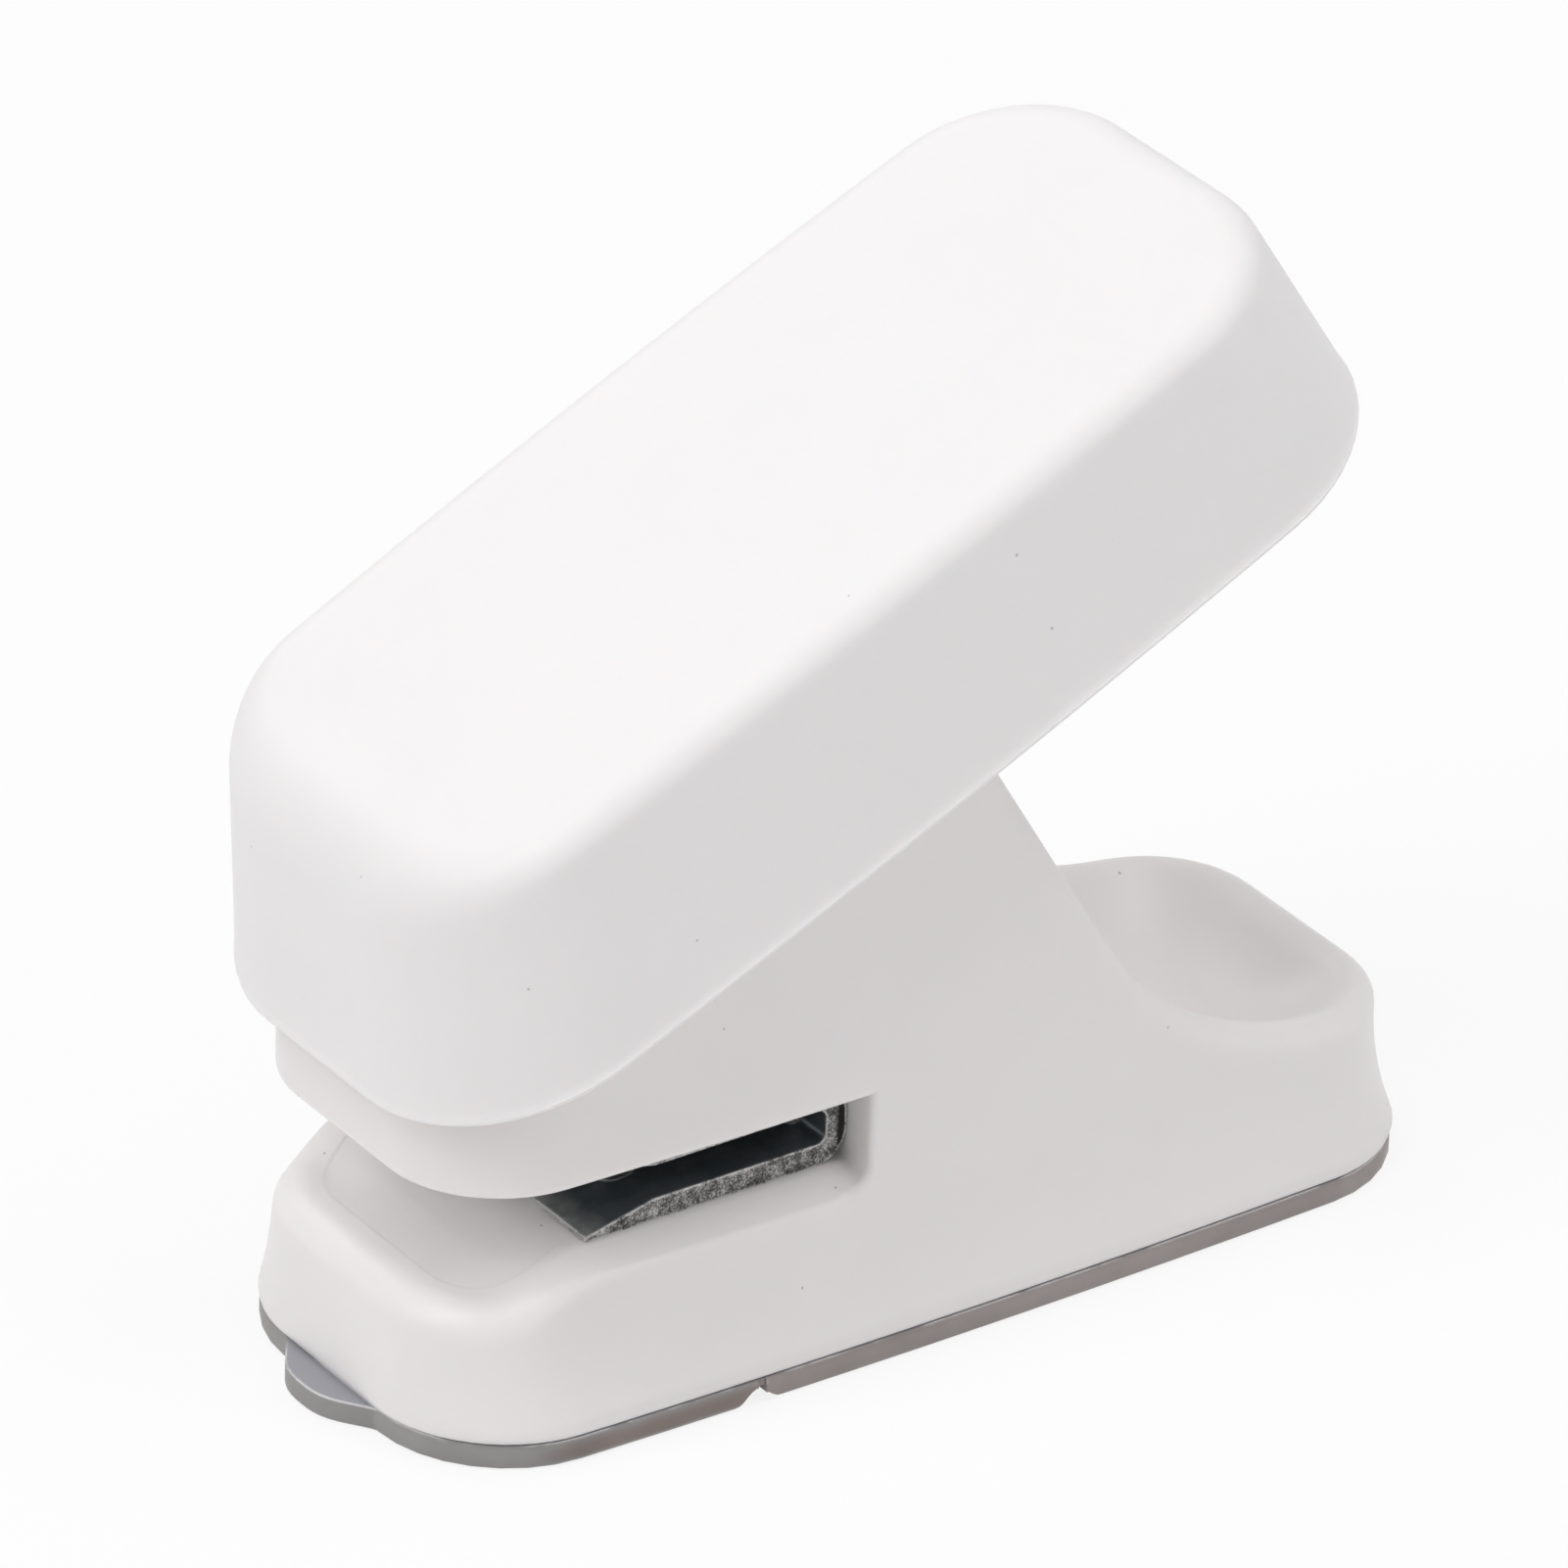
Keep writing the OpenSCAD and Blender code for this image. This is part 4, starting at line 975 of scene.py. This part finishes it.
housing_core = node_copy("housing", in_chamber)
lever_core = node_copy("lever_cap", in_lever_shell)
finish_piece("housing_shell", housing_skin(), "body", "white_body", body_white, "housing")
finish_piece("housing_inside", housing_core, "body", "white_body", body_white, "housing")
finish_piece("lever_shell", lever_skin(), "lever", "white_lever", lever_white, "lever_cap")
finish_piece("lever_inside", lever_core, "lever", "white_lever", lever_white, "lever_cap")

# Pieces that keep their node's shape

SHOWN_NODES = (
    ("die_frame", "body", "blued_steel", strip_steel),
    ("frame_screws", "body", "bright_steel", bright_steel),
    ("yoke", "body", "bright_steel", bright_steel),
    ("yoke_screws", "body", "bright_steel", bright_steel),
    ("pivot_pin", "body", "bright_steel", bright_steel),
    ("pivot_clips", "body", "blued_steel", clip_steel),
    ("spring_washer", "body", "bright_steel", bright_steel),
    ("lever_arm", "lever", "bright_steel", bright_steel),
    ("lever_screws", "lever", "bright_steel", bright_steel),
    ("punch", "punch_unit", "tool_steel", tool_steel),
    ("crosshead", "punch_unit", "grey_slider", slider),
    ("blade_pin", "punch_unit", "bright_steel", bright_steel),
    ("drive_pin", "punch_unit", "bright_steel", bright_steel),
    ("drive_clips", "punch_unit", "blued_steel", clip_steel),
    ("base_cover", "body", "soft_grey", rubber),
    ("chip_door", "door", "soft_grey", rubber),
)
for node, body, slot, material in SHOWN_NODES:
    finish_piece(node + "_finished", node_copy(node), body, slot, material, node)


# The living hinge: a thin strip between cover and door, cut into segments along X

def web_strip():
    bm = bmesh.new()
    size = Matrix.Diagonal((WEB_L * MM, 2 * WEB_HALF * MM, WEB_T * MM, 1))
    place = Matrix.Translation((HINGE_X * MM, 0, HINGE_Z * MM))
    bmesh.ops.create_cube(bm, size=1, matrix=place @ size)
    long = [e for e in bm.edges if abs(e.verts[0].co.x - e.verts[1].co.x) > 0.5 * WEB_L * MM]
    bmesh.ops.subdivide_edges(bm, edges=long, cuts=WEB_CUTS)
    return bm


web = finish_piece("hinge_web_finished", web_strip(), None, "soft_grey", rubber, "hinge_web")
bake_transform(web)

# The return spring, on a mesh of its own

coil = node_copy("return_spring")
spring = finish_piece("return_spring_finished", coil, "body", "spring_wire", spring_steel,
                      "return_spring")
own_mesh(spring)

# Floor, backdrop and light

FLOOR_SIZE = 6
FLOOR_DROP = 0.05 * MM
FLOOR_GLOW = 0.85
ROOM_LIGHT = 0.26
SOFTBOX_SIZE = 0.6
LIGHT_AIM = Vector((0, 0, 0.03))
NEUTRAL = (1, 0.995, 0.99)
COOL = (0.975, 0.975, 1)


# Rays from the camera, or by way of a mirror or glass, which see the background as white

def seen_directly(tree):
    path = add(tree, "ShaderNodeLightPath")
    seen = calc(tree, "MAXIMUM", path.outputs["Is Camera Ray"], path.outputs["Is Glossy Ray"])
    return calc(tree, "MAXIMUM", seen, path.outputs["Is Transmission Ray"])


# A floor that is nearly white to the camera and keeps the soft shadow

def pale_floor():
    material, tree, shader, where = new_material("pale_floor")
    tone = ramp(tree, noise(tree, where, 12, 2), (0.3, (0.93, 0.93, 0.93)), (0.7, (0.95, 0.95, 0.95)))
    tree.links.new(tone, shader.inputs["Base Color"])
    shader.inputs["Roughness"].default_value = 0.9
    shader.inputs["Specular IOR Level"].default_value = 0.1
    glow = add(tree, "ShaderNodeEmission")
    blend = add(tree, "ShaderNodeMixShader")
    tree.links.new(span(tree, seen_directly(tree), 0, 1, 0, FLOOR_GLOW), blend.inputs["Fac"])
    tree.links.new(shader.outputs["BSDF"], blend.inputs[1])
    tree.links.new(glow.outputs["Emission"], blend.inputs[2])
    tree.links.new(blend.outputs["Shader"], tree.nodes["Material Output"].inputs["Surface"])
    bm = bmesh.new()
    place = Matrix.Translation((0, 0, -FLOOR_DROP))
    bmesh.ops.create_grid(bm, x_segments=1, y_segments=1, size=FLOOR_SIZE, matrix=place)
    mesh = bpy.data.meshes.new("floor")
    bm.to_mesh(mesh)
    bm.free()
    mesh.materials.append(material)
    floor = bpy.data.objects.new("floor", mesh)
    scene.collection.objects.link(floor)


def white_room(light):
    world = bpy.data.worlds.new("white_room")
    scene.world = world
    world.use_nodes = True
    tree = world.node_tree
    strength = span(tree, seen_directly(tree), 0, 1, light, 1)
    tree.links.new(strength, tree.nodes["Background"].inputs["Strength"])
    tree.nodes["Background"].inputs["Color"].default_value = (1, 1, 1, 1)


def softbox(name, place, watts, colour):
    lamp = bpy.data.lights.new(name, "AREA")
    lamp.shape = "SQUARE"
    lamp.size = SOFTBOX_SIZE
    lamp.energy = watts
    lamp.color = colour
    box = bpy.data.objects.new(name, lamp)
    scene.collection.objects.link(box)
    box.location = place
    box.rotation_euler = (LIGHT_AIM - Vector(place)).to_track_quat("-Z", "Y").to_euler()


pale_floor()
white_room(ROOM_LIGHT)
softbox("key_softbox", (-0.93, 0.07, 0.71), 2.7, NEUTRAL)
softbox("front_softbox", (-0.53, -0.1, 1.03), 3.9, COOL)
softbox("top_softbox", (0.36, -0.13, 1.08), 2.5, COOL)
softbox("side_softbox", (0.45, -0.81, 0.71), 2.4, NEUTRAL)
softbox("back_softbox", (-0.08, 0.88, 0.77), 1.8, NEUTRAL)

# Camera at the photograph's viewing angle

VIEW_AZIMUTH = -36.05
VIEW_ELEVATION = 29.17
VIEW_ROLL = 2.14
VIEW_DISTANCE = 851.7
VIEW_AIM = (0, 0, 27.14)
VIEW_SHIFT = (-3.863, 4.298)
VIEW_LENS = 314.8
VIEW_SENSOR = 36

turn = radians(VIEW_AZIMUTH)
rise = radians(VIEW_ELEVATION)
roll = radians(VIEW_ROLL)
back = Vector((sin(turn) * cos(rise), -cos(turn) * cos(rise), sin(rise)))
right = Vector((cos(turn), sin(turn), 0))
up = back.cross(right)
view_right = cos(roll) * right + sin(roll) * up
view_up = cos(roll) * up - sin(roll) * right
aim = Vector(VIEW_AIM) + VIEW_SHIFT[0] * view_right + VIEW_SHIFT[1] * view_up
eye = (aim + VIEW_DISTANCE * back) * MM
lens = bpy.data.cameras.new("camera")
lens.lens = VIEW_LENS
lens.sensor_width = VIEW_SENSOR
camera = bpy.data.objects.new("camera", lens)
scene.collection.objects.link(camera)
facing = Matrix((view_right, view_up, back)).transposed().to_4x4()
camera.matrix_world = Matrix.Translation(eye) @ facing
scene.camera = camera
scene.view_settings.view_transform = "Standard"
